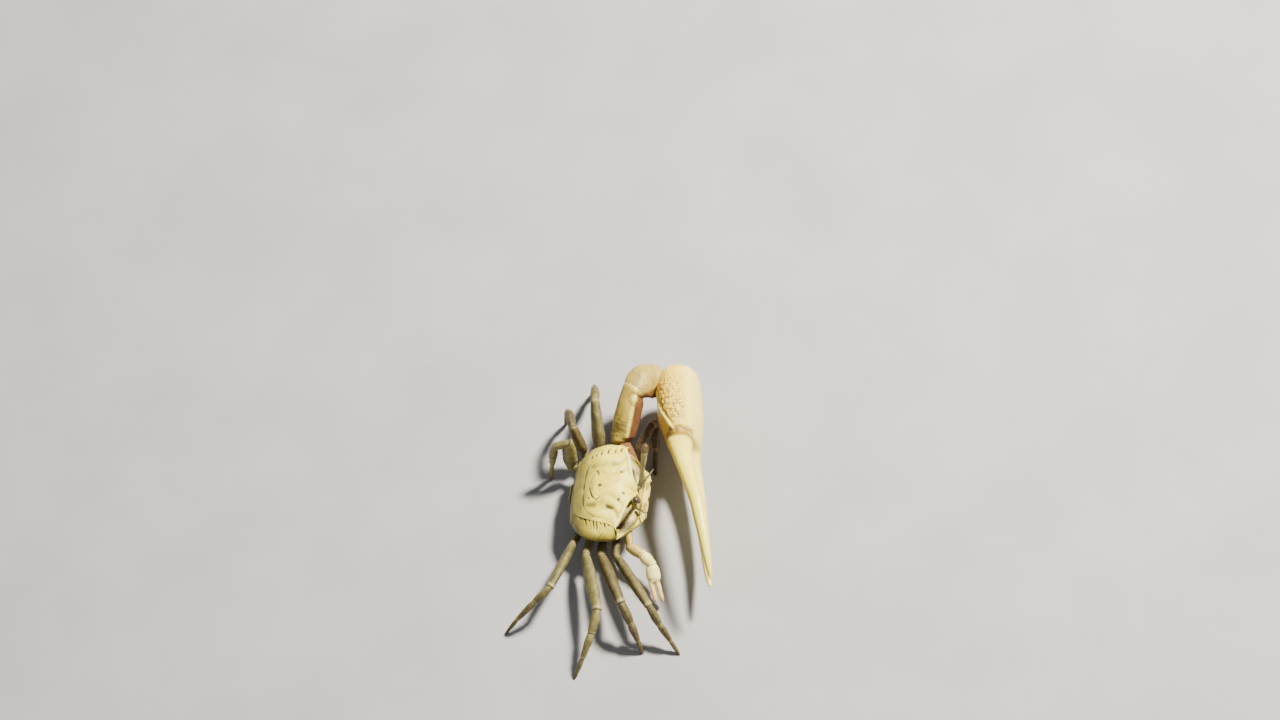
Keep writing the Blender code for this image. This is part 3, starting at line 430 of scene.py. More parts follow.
class Paint:
    """One material and the nodes in it."""

    def __init__(self, name, **constants):
        self.material = bpy.data.materials.new(name)
        self.material.use_nodes = True
        self.tree = self.material.node_tree
        self.shader = self.tree.nodes["Principled BSDF"]
        for key, value in constants.items():
            self.shader.inputs[key.replace("_", " ")].default_value = value
        self.place = self.node("ShaderNodeTexCoord", out=3)

    def node(self, kind, settings=None, values=None, out=0):
        """Make a node, set it up, and give back one of its outputs."""
        made = self.tree.nodes.new(kind)
        for key, value in (settings or {}).items():
            setattr(made, key, value)
        for key, value in (values or {}).items():
            if isinstance(value, Wire):
                self.tree.links.new(value.socket, made.inputs[key])
            else:
                made.inputs[key].default_value = value
        return Wire(self, made.outputs[out])

    def shade(self, name):
        """A colour attribute of the mesh."""
        return self.node("ShaderNodeAttribute", {"attribute_name": name}, out=2)

    def noise(self, size, detail=4.0, rough=0.55):
        """Cloudy noise with features about size mm across."""
        return self.node("ShaderNodeTexNoise", None,
                         {"Vector": self.place, "Scale": 1000.0 / size, "Detail": detail,
                          "Roughness": rough})

    def cells(self, size):
        """Distance from the middles of cells about size mm across."""
        return self.node("ShaderNodeTexVoronoi", None,
                         {"Vector": self.place, "Scale": 1000.0 / size})

    def over(self, colour, *layers):
        """Lay tones over a colour, each given with the mask that lets it show."""
        for mask, tone in layers:
            colour = mask.mix(colour, tone)
        return colour

    def finish(self, colour, roughness, height, depth):
        """Plug the results into the shader; depth is the relief's height in mm."""
        bump = self.node("ShaderNodeBump", None,
                         {"Strength": 1.0, "Distance": depth / 1000.0, "Height": height})
        for key, wire in (("Base Color", colour), ("Roughness", roughness), ("Normal", bump)):
            self.tree.links.new(wire.socket, self.shader.inputs[key])
        return self.material


paint = Paint("shell_paint", Specular_IOR_Level=0.45)
speck = paint.cells(0.55).rise(0.16, 0.05) * paint.noise(3.2, 2.0).rise(0.45, 0.65)
colour = paint.over(
    paint.noise(5.0).rise(0.38, 0.64).mix((0.82, 0.67, 0.045), (0.90, 0.79, 0.085)),
    (paint.noise(1.3, 6.0).rise(0.5, 0.75) * 0.3, (0.92, 0.83, 0.16)),
    (paint.noise(2.2, 5.0).rise(0.52, 0.68) * 0.6, (0.50, 0.39, 0.055)),
    # Painted shade in the furrows and pits, darker where they are deeper.
    (paint.shade("furrow_shade") * (0.6 + 0.45 * paint.noise(1.6, 5.0)), (0.27, 0.21, 0.05)),
    (speck * 0.35, (0.36, 0.28, 0.08)),
    # Painted shade on the rear slope of the back.
    (paint.shade("hind") * (0.7 + 0.6 * paint.noise(2.6, 4.0)), (0.18, 0.152, 0.042)),
    # Painted shade low on the side walls.
    (paint.shade("under").rise(0.1, 0.9) * 0.92, (0.12, 0.098, 0.03)),
    # Painted shade under the brow.
    (paint.shade("brow_shade") * 0.85, (0.17, 0.13, 0.035)),
    (paint.shade("edge") * 0.75, (0.94, 0.88, 0.34)),
    # Painted shade in the furrows, pits, notches and scoring.
    ((paint.shade("dark") * (0.8 + 0.3 * paint.noise(1.1, 3.0))).rise(0.05, 0.8), (0.075, 0.055, 0.018)))
grit = paint.noise(0.35, 4.0) * 0.6 + paint.cells(0.28).rise(0.0, 0.5) * 0.4
shell_paint = paint.finish(colour, 0.36 + 0.22 * paint.noise(1.6, 3.0), grit, 0.035)


def skin(name, points, faces, caps, slot, replaces, paint, **shades):
    """A finished piece: mesh, colour attributes, material, and the solid it stands for."""
    mesh = bpy.data.meshes.new(name)
    mesh.from_pydata((points / 1000.0).tolist(), [], faces.tolist() + [list(cap) for cap in caps])
    for key, values in shades.items():
        layer = mesh.attributes.new(key, "FLOAT", "POINT")
        values = np.broadcast_to(np.asarray(values, float).reshape(-1), (len(points),))
        layer.data.foreach_set("value", np.ascontiguousarray(values, np.float32))
    mesh.shade_smooth()
    mesh.materials.append(paint)
    piece = bpy.data.objects.new(name, mesh)
    bpy.context.scene.collection.objects.link(piece)
    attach(piece, "root")
    if replaces:
        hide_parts(*replaces)
    return piece


skin("shell", points, faces, (), "shell", ("carapace",), shell_paint, **shell_shades)

# ---- trunk and face ------------------------------------------------------------------
# Under the shell and of the same hard skin: the eye trenches with their toothed lower edge,
# swollen cheeks, the side walls with the sockets of the legs, and the breastplate.

# Rows of (half width, ahead), then two of (ahead, half width), for its edges from above.
LOWER_BROW = ((0.0, 7.6), (5.2, 7.6), (9.0, 6.6), (12.0, 4.9), (15.6, 1.9))
HIP_TOP = ((-13.0, 9.0), (-11.5, 12.2), (-8.0, 13.6), (-4.0, 14.3), (4.0, 14.3))
HIP_LOW = ((-12.0, 6.4), (-10.5, 8.4), (-7.0, 10.4), (-3.0, 11.5), (4.0, 11.5))
HIP_LOW_UP, STERNUM_UP = 8.0, 7.3
HIP_TOP_DROP, SEAM = 2.2, 0.34
# Share of the way down at which each outline of the trunk lies.
LEVELS = (0.0, 0.045, 0.11, 0.22, 0.28, 0.42, 0.68, 0.8, 1.0)
TOOTH_PITCH, CHEEK_SCORE_PITCH, PLATE_PITCH = 0.72, 1.25, 3.6


def hip_top_height(ahead):
    """Upper edge of the wall that carries the legs."""
    return floor_height(ahead) - HIP_TOP_DROP


COLUMNS, ROWS = 190, 110
left, ahead = shell_top(COLUMNS, ROWS)
rim = rim_numbers(COLUMNS, ROWS)
hind_part, brow_part = rim_sides(COLUMNS, ROWS)
flank_part = 1.0 - hind_part - brow_part
rim_left, rim_ahead = left.reshape(-1)[rim], ahead.reshape(-1)[rim]
sign = np.sign(rim_left)
skirt = foot_of_wall(rim_left, rim_ahead, hind_part, brow_part)
edge_ahead = curve(LOWER_BROW, np.abs(skirt)) - 0.05
forward = (rim_ahead - RIDGE[0][0]) / (CORNER_AHEAD - RIDGE[0][0])
top_ahead, low_ahead = (table[0][0] + forward * (CORNER_AHEAD - table[0][0])
                        for table in (HIP_TOP, HIP_LOW))
top_half, low_half = sign * curve(HIP_TOP, top_ahead), sign * curve(HIP_LOW, low_ahead)
hind_share = skirt / SKIRT[0][1]


def ring(brow, hind, flank, up):
    """One outline of the trunk: (left, ahead) of its face, hind edge and flanks, and a height."""
    across = brow_part * brow[0] + hind_part * hind[0] + flank_part * flank[0]
    along = brow_part * brow[1] + hind_part * hind[1] + flank_part * flank[1]
    return crab(across, along, up(along) if callable(up) else up)


rings = [
    ring((skirt * 0.74, edge_ahead - 8.4), (skirt * 0.8, -12.0), (skirt * 0.8, rim_ahead),
         lambda at: floor_height(at) + 1.0),
    ring((skirt * 0.84, edge_ahead - 4.8), (skirt * 0.83, -12.4), (skirt * 0.84, rim_ahead),
         lambda at: floor_height(at) + 0.35),
    ring((skirt * 0.93, edge_ahead - 2.1), (skirt * 0.9, -13.4), (skirt * 0.93, rim_ahead),
         lambda at: floor_height(at) - 0.9 * (at > -3.0)),
    ring((skirt * 0.975, edge_ahead), (skirt * 0.96, -13.8), (skirt * 0.975, rim_ahead),
         lambda at: floor_height(at) - SEAM),
    ring((skirt * 0.965, edge_ahead + 0.05), (skirt * 0.93, -13.6), (skirt * 0.95, rim_ahead),
         lambda at: floor_height(at) - 1.0),
    ring((skirt * 0.93, edge_ahead - 0.1), (hind_share * 9.0, -13.2), (top_half, top_ahead),
         hip_top_height),
    ring((skirt * 0.76, np.minimum(edge_ahead - 1.0, 6.0)), (hind_share * 6.4, -12.0),
         (low_half, low_ahead), HIP_LOW_UP),
    ring((skirt * 0.55, np.minimum(edge_ahead - 2.0, 4.6)), (hind_share * 5.4, -10.8),
         (low_half - sign * 2.2, low_ahead + 0.6), STERNUM_UP),
    ring((skirt * 0.2, -1.0), (hind_share * 2.0, -6.0), (sign * 2.2, low_ahead * 0.3 - 2.6),
         STERNUM_UP - 0.05),
]
share = np.sort(np.concatenate([np.linspace(0.0, 1.0, 78), np.linspace(0.18, 0.27, 18)]))
points = between(LEVELS, np.stack(rings), share).reshape(-1, 3)
trunk_rows = len(share)
deep = np.repeat(share, len(rim))
face_part, flank_all = np.tile(brow_part, trunk_rows), np.tile(flank_part, trunk_rows)
faces = grid_faces(trunk_rows, len(rim), True)
if volume(points, faces) < 0.0:
    faces = faces[:, ::-1]
from_left, from_front = points[:, 0] - CENTRE[0], CENTRE[1] - points[:, 1]
across = np.abs(from_left)
cheek_out = within(deep, 0.245, 0.33, 0.42, 0.74) * within(across, 4.3, 6.0, 7.5, 12.6)
cheek_out = (1.9 * cheek_out + 1.5 * band(deep, 0.272, 0.022) * rise(across, 6.0, 4.5)) * face_part
points[:, 1] -= cheek_out
points[:, 2] += 0.25 * cheek_out
brow_line = band(deep, 0.222, 0.018) * face_part * rise(across, 2.4, 3.4)
teeth = wave(across * 1.05 + 0.25 * from_front, TOOTH_PITCH) * (0.55 + 0.45 * lumps(points, 1.3, 35))
cheek = within(deep, 0.26, 0.34, 0.6, 0.74) * face_part
floor_ridge = band(deep, 0.10, 0.028) * face_part * rise(across, 1.5, 3.5)
gutters = (band(deep, 0.168, 0.018) + band(deep, 0.252, 0.014)) * face_part * rise(across, 1.5, 3.0)
mouth_edge = band(across, 5.3, 0.3) * cheek
score = wave(across * 0.8 - deep * 20.0, CHEEK_SCORE_PITCH)
score_band = band(deep, 0.31, 0.05) * face_part * rise(across, 4.6, 6.0)
plates = wave(from_front, PLATE_PITCH)
belly = rise(deep, 0.74, 0.8)
plate_seam = rise(plates, 0.93, 1.0) * belly * rise(across, 2.0, 3.4)
sockets = within(deep, 0.44, 0.5, 0.6, 0.7) * flank_all
sand = rise(lumps(points, 2.4, 31), 0.25, 0.6) * cheek * rise(across, 8.5, 10.5) * rise(deep, 0.4, 0.5)
relief = (brow_line * (0.08 + 0.15 * teeth) + 0.5 * floor_ridge - 0.28 * gutters - 0.2 * mouth_edge
          - 0.24 * score_band * rise(score, 0.5, 1.0) - 0.3 * plate_seam
          + 0.07 * lumps(points, 1.5, 32) + 0.07 * beads(points, 0.5, 33) * (cheek + belly * 0.3)
          + 0.10 * beads(points, 0.62, 34) * sand - 0.15 * sockets * (1.0 - plates))
points = push(points, faces, relief)
corner_near = rise(np.abs(points[:, 0] - CENTRE[0]), 12.6, 15.0)
points = relax(points, faces, np.full(len(points), 0.1), 10)
points = relax(points, faces, 0.9 * corner_near * rise(CENTRE[1] - points[:, 1], -2.0, 0.0), 60)
# Painted shade in the eye trenches and their gutters, eased at the lit outer end on the right.
lit_end = rise(-from_left, 12.4, 13.4)
trench = face_part * rise(deep, 0.2, 0.12) * (1.0 - 0.85 * lit_end)
# Shade lies where the eye stalks leave the trench, wider on the right.
by_stalks = np.exp(-((from_left + 10.6) / 2.0) ** 4) + 0.8 * band(from_left, 8.2, 1.3)
by_stalks = by_stalks * face_part * rise(deep, 0.22, 0.15)
# Dark in grooves and seams: painted shade in the cheek scoring, between the brow teeth and in the gutters
# (eased at the lit end), and dark seams along the mouth edge and between the breast plates.
cut = np.max([score_band * rise(score, 0.5, 0.9), brow_line * (1.0 - teeth), mouth_edge * 0.8, plate_seam,
              gutters * (1.0 - 0.75 * lit_end)], axis=0)
shadowed = np.max([rise(deep, 0.14, 0.36) * (1.0 - face_part), rise(deep, 0.55, 0.75),
                   0.95 * by_stalks], axis=0)
# Pale tooth tips and a pale floor ridge, left out where the painted shade by the stalks lies.
pale_edge = np.maximum(brow_line * teeth * 0.6, floor_ridge * (1.0 - by_stalks))
# The bristles between the hips are rooted on this wall.
trunk_wall = {"points": points, "shape": (trunk_rows, len(rim)),
              "hips": flank_all * within(deep, 0.4, 0.46, 0.66, 0.74)}

paint = Paint("trunk_paint", Specular_IOR_Level=0.4)
colour = paint.over(
    paint.noise(4.0).rise(0.36, 0.66).mix((0.74, 0.62, 0.09), (0.86, 0.76, 0.16)),
    (paint.noise(1.2, 6.0).rise(0.5, 0.72) * 0.4, (0.50, 0.40, 0.11)),
    # Painted shade in the eye trenches.
    (paint.shade("trench") * (0.3 + 0.7 * paint.noise(2.2, 5.0).rise(0.4, 0.58)), (0.22, 0.165, 0.05)),
    (paint.shade("sand") * 0.8,
     paint.cells(0.45).rise(0.1, 0.5).mix((0.42, 0.33, 0.18), (0.14, 0.105, 0.055))),
    (paint.shade("shadowed") * 0.9,
     paint.noise(1.6, 5.0).rise(0.35, 0.7).mix((0.055, 0.04, 0.02), (0.13, 0.10, 0.045))),
    (paint.shade("rim") * 0.5, (0.92, 0.84, 0.32)),
    # Painted shade in the scoring, between the teeth and in the gutters, and the dark seams.
    (paint.shade("cut") * 0.85, (0.10, 0.072, 0.02)))
trunk_paint = paint.finish(colour, 0.42 + 0.25 * paint.noise(1.4, 3.0),
                           paint.noise(0.3, 5.0) * 0.7 + paint.cells(0.3) * 0.5, 0.05)
bottom = range((trunk_rows - 1) * len(rim), trunk_rows * len(rim))
skin("trunk_skin", points, faces, (bottom,), "underside", ("trunk",), trunk_paint,
     trench=trench, sand=sand, shadowed=shadowed, rim=pale_edge, cut=cut)

# ---- tail flap -----------------------------------------------------------------------
# A male's narrow tail in seven pieces of shell. It is hinged to the trunk's hind edge and
# folded forward under it.

# Rows of (ahead, up, half width).
TAIL_FLAP = ((-14.5, 9.6, 4.6), (-13.2, 7.9, 4.7), (-11.2, 6.45, 4.3), (-7.5, 6.3, 3.4), (-3.5, 6.3, 2.3),
             (-0.5, 6.3, 1.3))
TAIL_HALF_THICK, TAIL_PIECES = 0.55, 6.5
ACROSS, UPRIGHT = Vector((1.0, 0.0, 0.0)), Vector((0.0, 0.0, 1.0))


def vec(left, ahead, up):
    """A single place as a Blender vector in mm."""
    return Vector(crab(left, ahead, up).tolist())


def directions(path):
    """Direction of a bent line at each of its places."""
    last = len(path) - 1
    return [(path[min(number + 1, last)] - path[max(number - 1, 0)]).normalized()
            for number in range(len(path))]


def tube(stations, rows, columns, fullness=2.0, domes=(0.5, 0.5), dome_rows=7):
    """Points of a smooth tube closed by domes, with the share along it and the angle round it.

    A station is (centre, wide, high, half wide, half high). Angle 0 lies towards wide and
    a quarter turn towards high. The share runs below 0 and above 1 in the domes. Fullness 2
    makes ovals, and more makes them squarer; a dome's height is a share of the half width.
    """
    centres = np.array([station[0] for station in stations])
    gaps = np.linalg.norm(np.diff(centres, axis=0), axis=1)
    keys = np.concatenate([[0.0], np.cumsum(np.maximum(gaps, 1e-3))])
    length = keys[-1]
    # Columns: centre 0 to 2, wide 3 to 5, high 6 to 8, half wide 9 and half high 10.
    values = np.array([np.concatenate([centre, wide, high, [half_wide, half_high]])
                       for centre, wide, high, half_wide, half_high in stations])
    inner = np.linspace(0.0, 1.0, rows)
    read = between(keys / length, values, inner)
    blocks, factors, shares = [], [], []
    for end in (0, 1):
        angle = np.linspace(0.06, math.pi / 2.0, dome_rows + 1)[:-1]
        angle = angle if end == 0 else angle[::-1]
        edge = read[-end]
        size = 0.5 * (edge[9] + edge[10]) * domes[end]
        away = np.cross(edge[3:6], edge[6:9])
        run = centres[0] - centres[1] if end == 0 else centres[-1] - centres[-2]
        away = away * (1.0 if away @ run > 0.0 else -1.0)
        block = np.repeat(edge[None, :], dome_rows, axis=0)
        block[:, 0:3] = edge[0:3] + away * (np.cos(angle) * size)[:, None]
        blocks.append(block)
        factors.append(np.sin(angle))
        offset = np.cos(angle) * size / length
        shares.append(-offset if end == 0 else 1.0 + offset)
    table = np.concatenate([blocks[0], read, blocks[1]])
    factor = np.concatenate([factors[0], np.ones(rows), factors[1]])
    share = np.concatenate([shares[0], inner, shares[1]])
    angle = 2.0 * math.pi * np.arange(columns) / columns
    grid = table[:, None, 0:3]
    for first, half, turn in ((3, 9, np.cos(angle)), (6, 10, np.sin(angle))):
        reach = np.sign(turn) * np.abs(turn) ** (2.0 / fullness)
        reach = (table[:, half] * factor)[:, None, None] * reach[:, None]
        grid = grid + table[:, None, first:first + 3] * reach
    total = len(table)
    faces = grid_faces(total, columns, True)
    points = grid.reshape(-1, 3)
    first, last = list(range(columns)), list(range((total - 1) * columns, total * columns))
    if volume(points, faces) < 0.0:
        faces = faces[:, ::-1]
        first, last = first[::-1], last[::-1]
    return {"points": points, "faces": faces, "caps": (first[::-1], last), "length": length,
            "share": np.repeat(share, columns), "angle": np.tile(angle, total),
            "shape": (total, columns)}


def dress(name, made, relief, slot, replaces, paint, **shades):
    """Give a tube its relief and put it in the scene."""
    return skin(name, push(made["points"], made["faces"], relief), made["faces"], made["caps"],
                slot, replaces, paint, **shades)


path = [vec(0.0, ahead, up) for ahead, up, _ in TAIL_FLAP]
flap = tube([(centre, ACROSS, axis.cross(ACROSS), row[2], TAIL_HALF_THICK)
             for centre, axis, row in zip(path, directions(path), TAIL_FLAP)], 120, 90, 2.2, (0.9, 0.4))
seams = rise(wave(flap["share"], 1.0 / TAIL_PIECES), 0.9, 1.0)
relief = 0.05 * lumps(flap["points"], 1.2, 41) - 0.18 * seams + 0.03 * beads(flap["points"], 0.5, 42)
dress("tail_flap", flap, relief, "underside", ("abdomen",), trunk_paint,
      trench=0.0, sand=0.0, shadowed=0.85, rim=0.0, cut=seams)

# ---- mouthparts ----------------------------------------------------------------------
# Two broad outer flaps of thin shell close the mouth like a pair of doors. Each has a
# lengthwise furrow and a hinge line.

# Rows of (up, thickness, half width).
FLAPS = ((8.9, 0.5, 1.3), (10.2, 1.1, 2.1), (12.0, 1.5, 2.38), (13.4, 1.4, 2.3), (14.2, 0.9, 1.9))
FLAP_MIDDLE, FACE_FRONT, FACE_BEND_UP, FACE_SLOPE = 2.6, 7.6, 13.2, 0.31
SIDES = ((1.0, "left"), (-1.0, "right"))
paint = Paint("mouth_paint", Specular_IOR_Level=0.4)
colour = paint.over(paint.noise(1.6, 5.0).rise(0.35, 0.65).mix((0.44, 0.35, 0.11), (0.68, 0.57, 0.22)),
                    # Painted shade in the lengthwise furrow, and the dark hinge line.
                    (paint.shade("cut") * 0.8, (0.13, 0.09, 0.03)))
mouth_paint = paint.finish(colour, 0.45 + 0.2 * paint.noise(1.0), paint.noise(0.3, 5.0), 0.04)
mouth_flaps = []
for sign, side in SIDES:
    stations = []
    for up, thick, half in FLAPS:
        face = FACE_FRONT - max(0.0, FACE_BEND_UP - up) * FACE_SLOPE
        stations.append((vec(sign * FLAP_MIDDLE, face + SEAM + thick / 2.0, up), ACROSS,
                         Vector((0.0, -1.0, 0.0)), half, thick / 2.0))
    flap = tube(stations, 60, 64, 3.0, (0.35, 0.35))
    share = flap["share"]
    outer = rise(np.sin(flap["angle"]), 0.0, 0.4)
    inner_side = -sign * np.cos(flap["angle"])
    furrow = band(inner_side, 0.55, 0.06) * outer * within(share, 0.1, 0.2, 0.6, 0.66)
    cut = np.maximum(furrow, band(share, 0.72 + 0.12 * inner_side, 0.014) * outer)
    relief = (-0.08 * cut + 0.03 * lumps(flap["points"], 0.9, 43)
              + 0.04 * beads(flap["points"], 0.42, 44) * outer)
    flap["points"] = push(flap["points"], flap["faces"], relief)
    dress("mouth_flap_" + side, flap, 0.0, "mouth", ("maxilliped_" + side,), mouth_paint, cut=cut)
    mouth_flaps.append({**flap, "fringe": (band(inner_side, 0.85, 0.14) + rise(share, 0.9, 1.0)) * outer})

# ---- eyes ----------------------------------------------------------------------------
# Long slim stalks of shell, jointed beside the midline. The glossy brown cornea caps the
# end and runs a little down the stalk.

EYE_TIPS = {"left": (13.4, 6.6, 25.2), "right": (-7.6, 6.0, 26.6)}
EYE_FOOT = (2.6, 6.3, 17.2)
# Rows of (share of the length, half width).
STALK = ((0.0, 0.78), (0.25, 0.7), (0.5, 0.76), (0.8, 0.94), (1.0, 1.03))
EYE_BEAD = ((0.0, 0.84), (0.15, 0.92), (0.4, 1.0), (0.68, 0.92), (0.86, 0.66), (0.96, 0.34), (1.0, 0.14))
EYE_LENGTH, EYE_HALF, EYE_SUNK, STALK_FLAT = 3.0, 1.22, 0.45, 0.86
# Rows of (left, ahead, up, half width, half height) for the knob at the stalk's inner end.
STALK_KNOB = ((0.9, 5.3, 16.7, 0.6, 0.6), (1.9, 5.9, 16.7, 0.85, 0.85), (2.9, 6.2, 17.0, 0.95, 0.9))
paint = Paint("stalk_paint", Specular_IOR_Level=0.5)
colour = paint.over(paint.noise(1.5, 5.0).rise(0.35, 0.65).mix((0.11, 0.095, 0.032), (0.22, 0.19, 0.07)),
                    (paint.shade("dorsal") * 0.8, (0.04, 0.034, 0.014)),
                    (paint.shade("collar") * 0.7, (0.24, 0.20, 0.09)))
stalk_paint = paint.finish(colour, 0.32 + 0.2 * paint.noise(1.0), paint.noise(0.25, 4.0), 0.02)
paint = Paint("cornea_paint", Coat_Weight=0.18, Coat_Roughness=0.12, Specular_IOR_Level=0.3)
facets = paint.cells(0.075).rise(0.1, 0.55)
colour = paint.over(paint.shade("outer").mix((0.13, 0.095, 0.045), (0.07, 0.042, 0.018)),
                    (paint.noise(0.7, 3.0).rise(0.45, 0.65) * 0.35, (0.17, 0.11, 0.055)),
                    (facets * 0.3, (0.035, 0.022, 0.012)))
cornea_paint = paint.finish(colour, 0.32 + 0.12 * paint.noise(0.8), facets * -1.0, 0.008)
for sign, side in SIDES:
    foot, tip = vec(sign * EYE_FOOT[0], *EYE_FOOT[1:]), vec(*EYE_TIPS[side])
    axis = (tip - foot).normalized()
    wide = axis.cross(Vector((0.0, 1.0, 0.0))).normalized()
    high = axis.cross(wide)
    neck = (tip - foot).length - EYE_LENGTH
    stalk = tube([(foot + axis * ((neck + EYE_SUNK) * share), wide, high, half * STALK_FLAT, half)
                  for share, half in STALK], 90, 56, 2.0, (0.6, 0.3))
    share = stalk["share"]
    groove = rise(sign * np.cos(stalk["angle"]), 0.72, 0.97) * within(share, 0.05, 0.2, 0.7, 0.9)
    relief = (0.05 * lumps(stalk["points"], 0.9, 51) + 0.02 * beads(stalk["points"], 0.3, 52)
              - 0.16 * groove)
    # Painted shade in the top groove and towards the root, where the stalk meets the trench.
    dress("stalk_" + side, stalk, relief, "stalk", ("eyestalk_" + side,), stalk_paint,
          dorsal=np.maximum(0.8 * groove, rise(share, 0.4, 0.05)), collar=rise(share, 0.86, 0.97))
    start = foot + axis * (neck + 0.1)
    bead = tube([(start + axis * ((EYE_LENGTH - 0.1) * share), wide, high, EYE_HALF * half, EYE_HALF * half)
                 for share, half in EYE_BEAD], 64, 64, 2.0, (0.2, 0.3))
    dress("cornea_" + side, bead, 0.0, "cornea", ("eye_" + side,), cornea_paint,
          outer=rise(bead["share"] + 0.35 * np.sin(bead["angle"]), 0.3, 0.85))
    knob = tube([(vec(sign * left, ahead, up), UPRIGHT, Vector((0.0, 1.0, 0.0)), half_wide, half_high)
                 for left, ahead, up, half_wide, half_high in STALK_KNOB], 30, 40, 2.0, (0.8, 0.8))
    # The knob is painted dark, as shade in the trench it sits in.
    dress("stalk_base_" + side, knob, 0.03 * lumps(knob["points"], 0.8, 53), "stalk", (), stalk_paint,
          dorsal=0.8, collar=0.0)

# ---- feelers -------------------------------------------------------------------------
# Short second antennae beside the front: thin whips of many small rings of skin, each
# jointed on a thicker foot.

# Rows of (left, ahead, up, half width).
FEELER = ((4.9, 6.4, 15.9, 0.475), (5.6, 7.4, 16.5, 0.336), (6.9, 8.6, 17.1, 0.208), (8.6, 9.6, 17.3, 0.135))
FEELER_RINGS = 19.0
for sign, side in SIDES:
    path = [vec(sign * left, ahead, up) for left, ahead, up, _ in FEELER]
    stations = []
    for centre, axis, row in zip(path, directions(path), FEELER):
        wide = axis.cross(UPRIGHT).normalized()
        stations.append((centre, wide, axis.cross(wide), row[3], row[3]))
    feeler = tube(stations, 80, 28, 2.0, (0.8, 1.2))
    joints = np.cos(2.0 * math.pi * np.maximum(feeler["share"] - 0.12, 0.0) * FEELER_RINGS)
    dress("feeler_" + side, feeler, 0.012 * joints, "stalk", ("antenna_" + side,), stalk_paint,
          dorsal=0.6 * rise(joints, 0.0, -1.0), collar=0.0)

# ---- walking legs --------------------------------------------------------------------
# Eight legs of hollow shell. Each has a short hip segment, a broad flat merus, a ridged carpus
# and propodus, and a slim horny toe. Joints carry pale rims and a strip of dark joint skin.

# Where each hip sits on the wall, then the places of its joints and the tip of its toe.
LEGS = {
    "leg_right_2": (0.7, (-18.8, 1.2, 9.2), (-37.6, 13.8, 14.6), (-40.8, 17.4, 9.4), (-43.6, 21.2, 4.6),
                    (-46.0, 24.4, 0.0)),
    "leg_right_3": (-3.2, (-19.0, -3.6, 9.2), (-37.8, 5.2, 15.0), (-42.0, 8.6, 10.4), (-45.0, 11.2, 5.0),
                    (-47.0, 13.0, 0.0)),
    "leg_right_4": (-7.1, (-19.8, -8.2, 9.4), (-40.4, -2.0, 13.6), (-47.0, -2.9, 10.6), (-53.6, -4.8, 6.0),
                    (-58.2, -6.9, 0.0)),
    "leg_right_5": (-10.6, (-15.6, -12.4, 9.2), (-34.6, -17.4, 14.2), (-38.8, -21.6, 11.2),
                    (-43.0, -26.6, 6.2), (-45.4, -30.2, 0.0)),
    "leg_left_2": (0.7, (17.4, 2.2, 6.6), (27.2, 7.0, 12.4), (29.0, 7.8, 8.8), (23.0, 8.6, 4.2),
                   (15.8, 9.3, 0.0)),
    "leg_left_3": (-3.9, (18.4, -8.6, 8.8), (30.8, -11.7, 17.6), (35.8, -12.3, 14.4), (40.6, -13.1, 7.4),
                   (43.4, -13.4, 0.0)),
    "leg_left_4": (-7.3, (16.4, -13.4, 7.8), (18.8, -17.2, 20.6), (24.4, -19.0, 18.6), (28.6, -20.4, 10.0),
                   (30.4, -21.2, 0.0)),
    "leg_left_5": (-10.6, (11.2, -16.8, 7.8), (12.4, -17.8, 21.2), (11.6, -22.0, 19.4), (10.6, -22.8, 9.6),
                   (10.2, -23.2, 0.0)),
}
LEG_GIRTH = {"2": 0.9, "3": 1.02, "4": 1.0, "5": 0.82}
# How light and how reddish each leg is painted.
LEG_TINT = {"leg_right_2": (0.1, 0.2), "leg_right_3": (0.0, 0.45), "leg_right_4": (0.55, 0.0),
            "leg_right_5": (0.0, 0.0), "leg_left_2": (0.0, 0.95), "leg_left_3": (0.25, 0.1),
            "leg_left_4": (0.0, 0.6), "leg_left_5": (1.0, 0.0)}
# Rows of (share of the length, half width, half height).
HIP = ((0.0, 1.35, 1.25), (0.55, 1.25, 1.45), (1.0, 1.25, 1.5))
MERUS = ((0.0, 1.15, 1.35), (0.12, 1.55, 2.1), (0.35, 1.85, 2.75), (0.65, 1.8, 2.6), (0.88, 1.55, 2.0),
         (1.0, 1.4, 1.65))
CARPUS = ((0.0, 1.1, 1.3), (0.3, 1.4, 1.75), (0.6, 1.45, 1.85), (1.0, 1.2, 1.4))
PROPODUS = ((0.0, 1.0, 1.2), (0.3, 1.25, 1.55), (0.75, 1.0, 1.2), (1.0, 0.82, 0.92))
DACTYL = ((0.0, 0.68, 0.78), (0.3, 0.75, 0.85), (0.7, 0.6, 0.65), (1.0, 0.42, 0.42))
HIP_SEAM, KNEE_BOW, ABOVE_FLOOR = 0.44, 0.25, 0.06
# The upper side of a segment, the turn from its middle ridge to the next, and the rows of scales.
TOP, RIDGE_TURN, SCALE_PITCH = 1.5 * math.pi, 0.62, 0.62


def hip_on_wall(sign, ahead, share_down=0.5, sunk=0.0):
    """Point, outward normal and rearward direction of the wall that carries a hip."""
    def wall(at, share):
        upper = vec(sign * float(curve(HIP_TOP, at)), at, float(hip_top_height(at)))
        lower = vec(sign * float(curve(HIP_LOW, at)), at, HIP_LOW_UP)
        return upper.lerp(lower, share)
    back = (wall(ahead - 1.2, 0.5) - wall(ahead + 1.2, 0.5)).normalized()
    fall = (wall(ahead, 1.0) - wall(ahead, 0.0)).normalized()
    normal = back.cross(fall).normalized()
    normal = -normal if normal.x * sign < 0.0 else normal
    return wall(ahead, share_down) + normal * (HIP_SEAM - sunk), normal, back


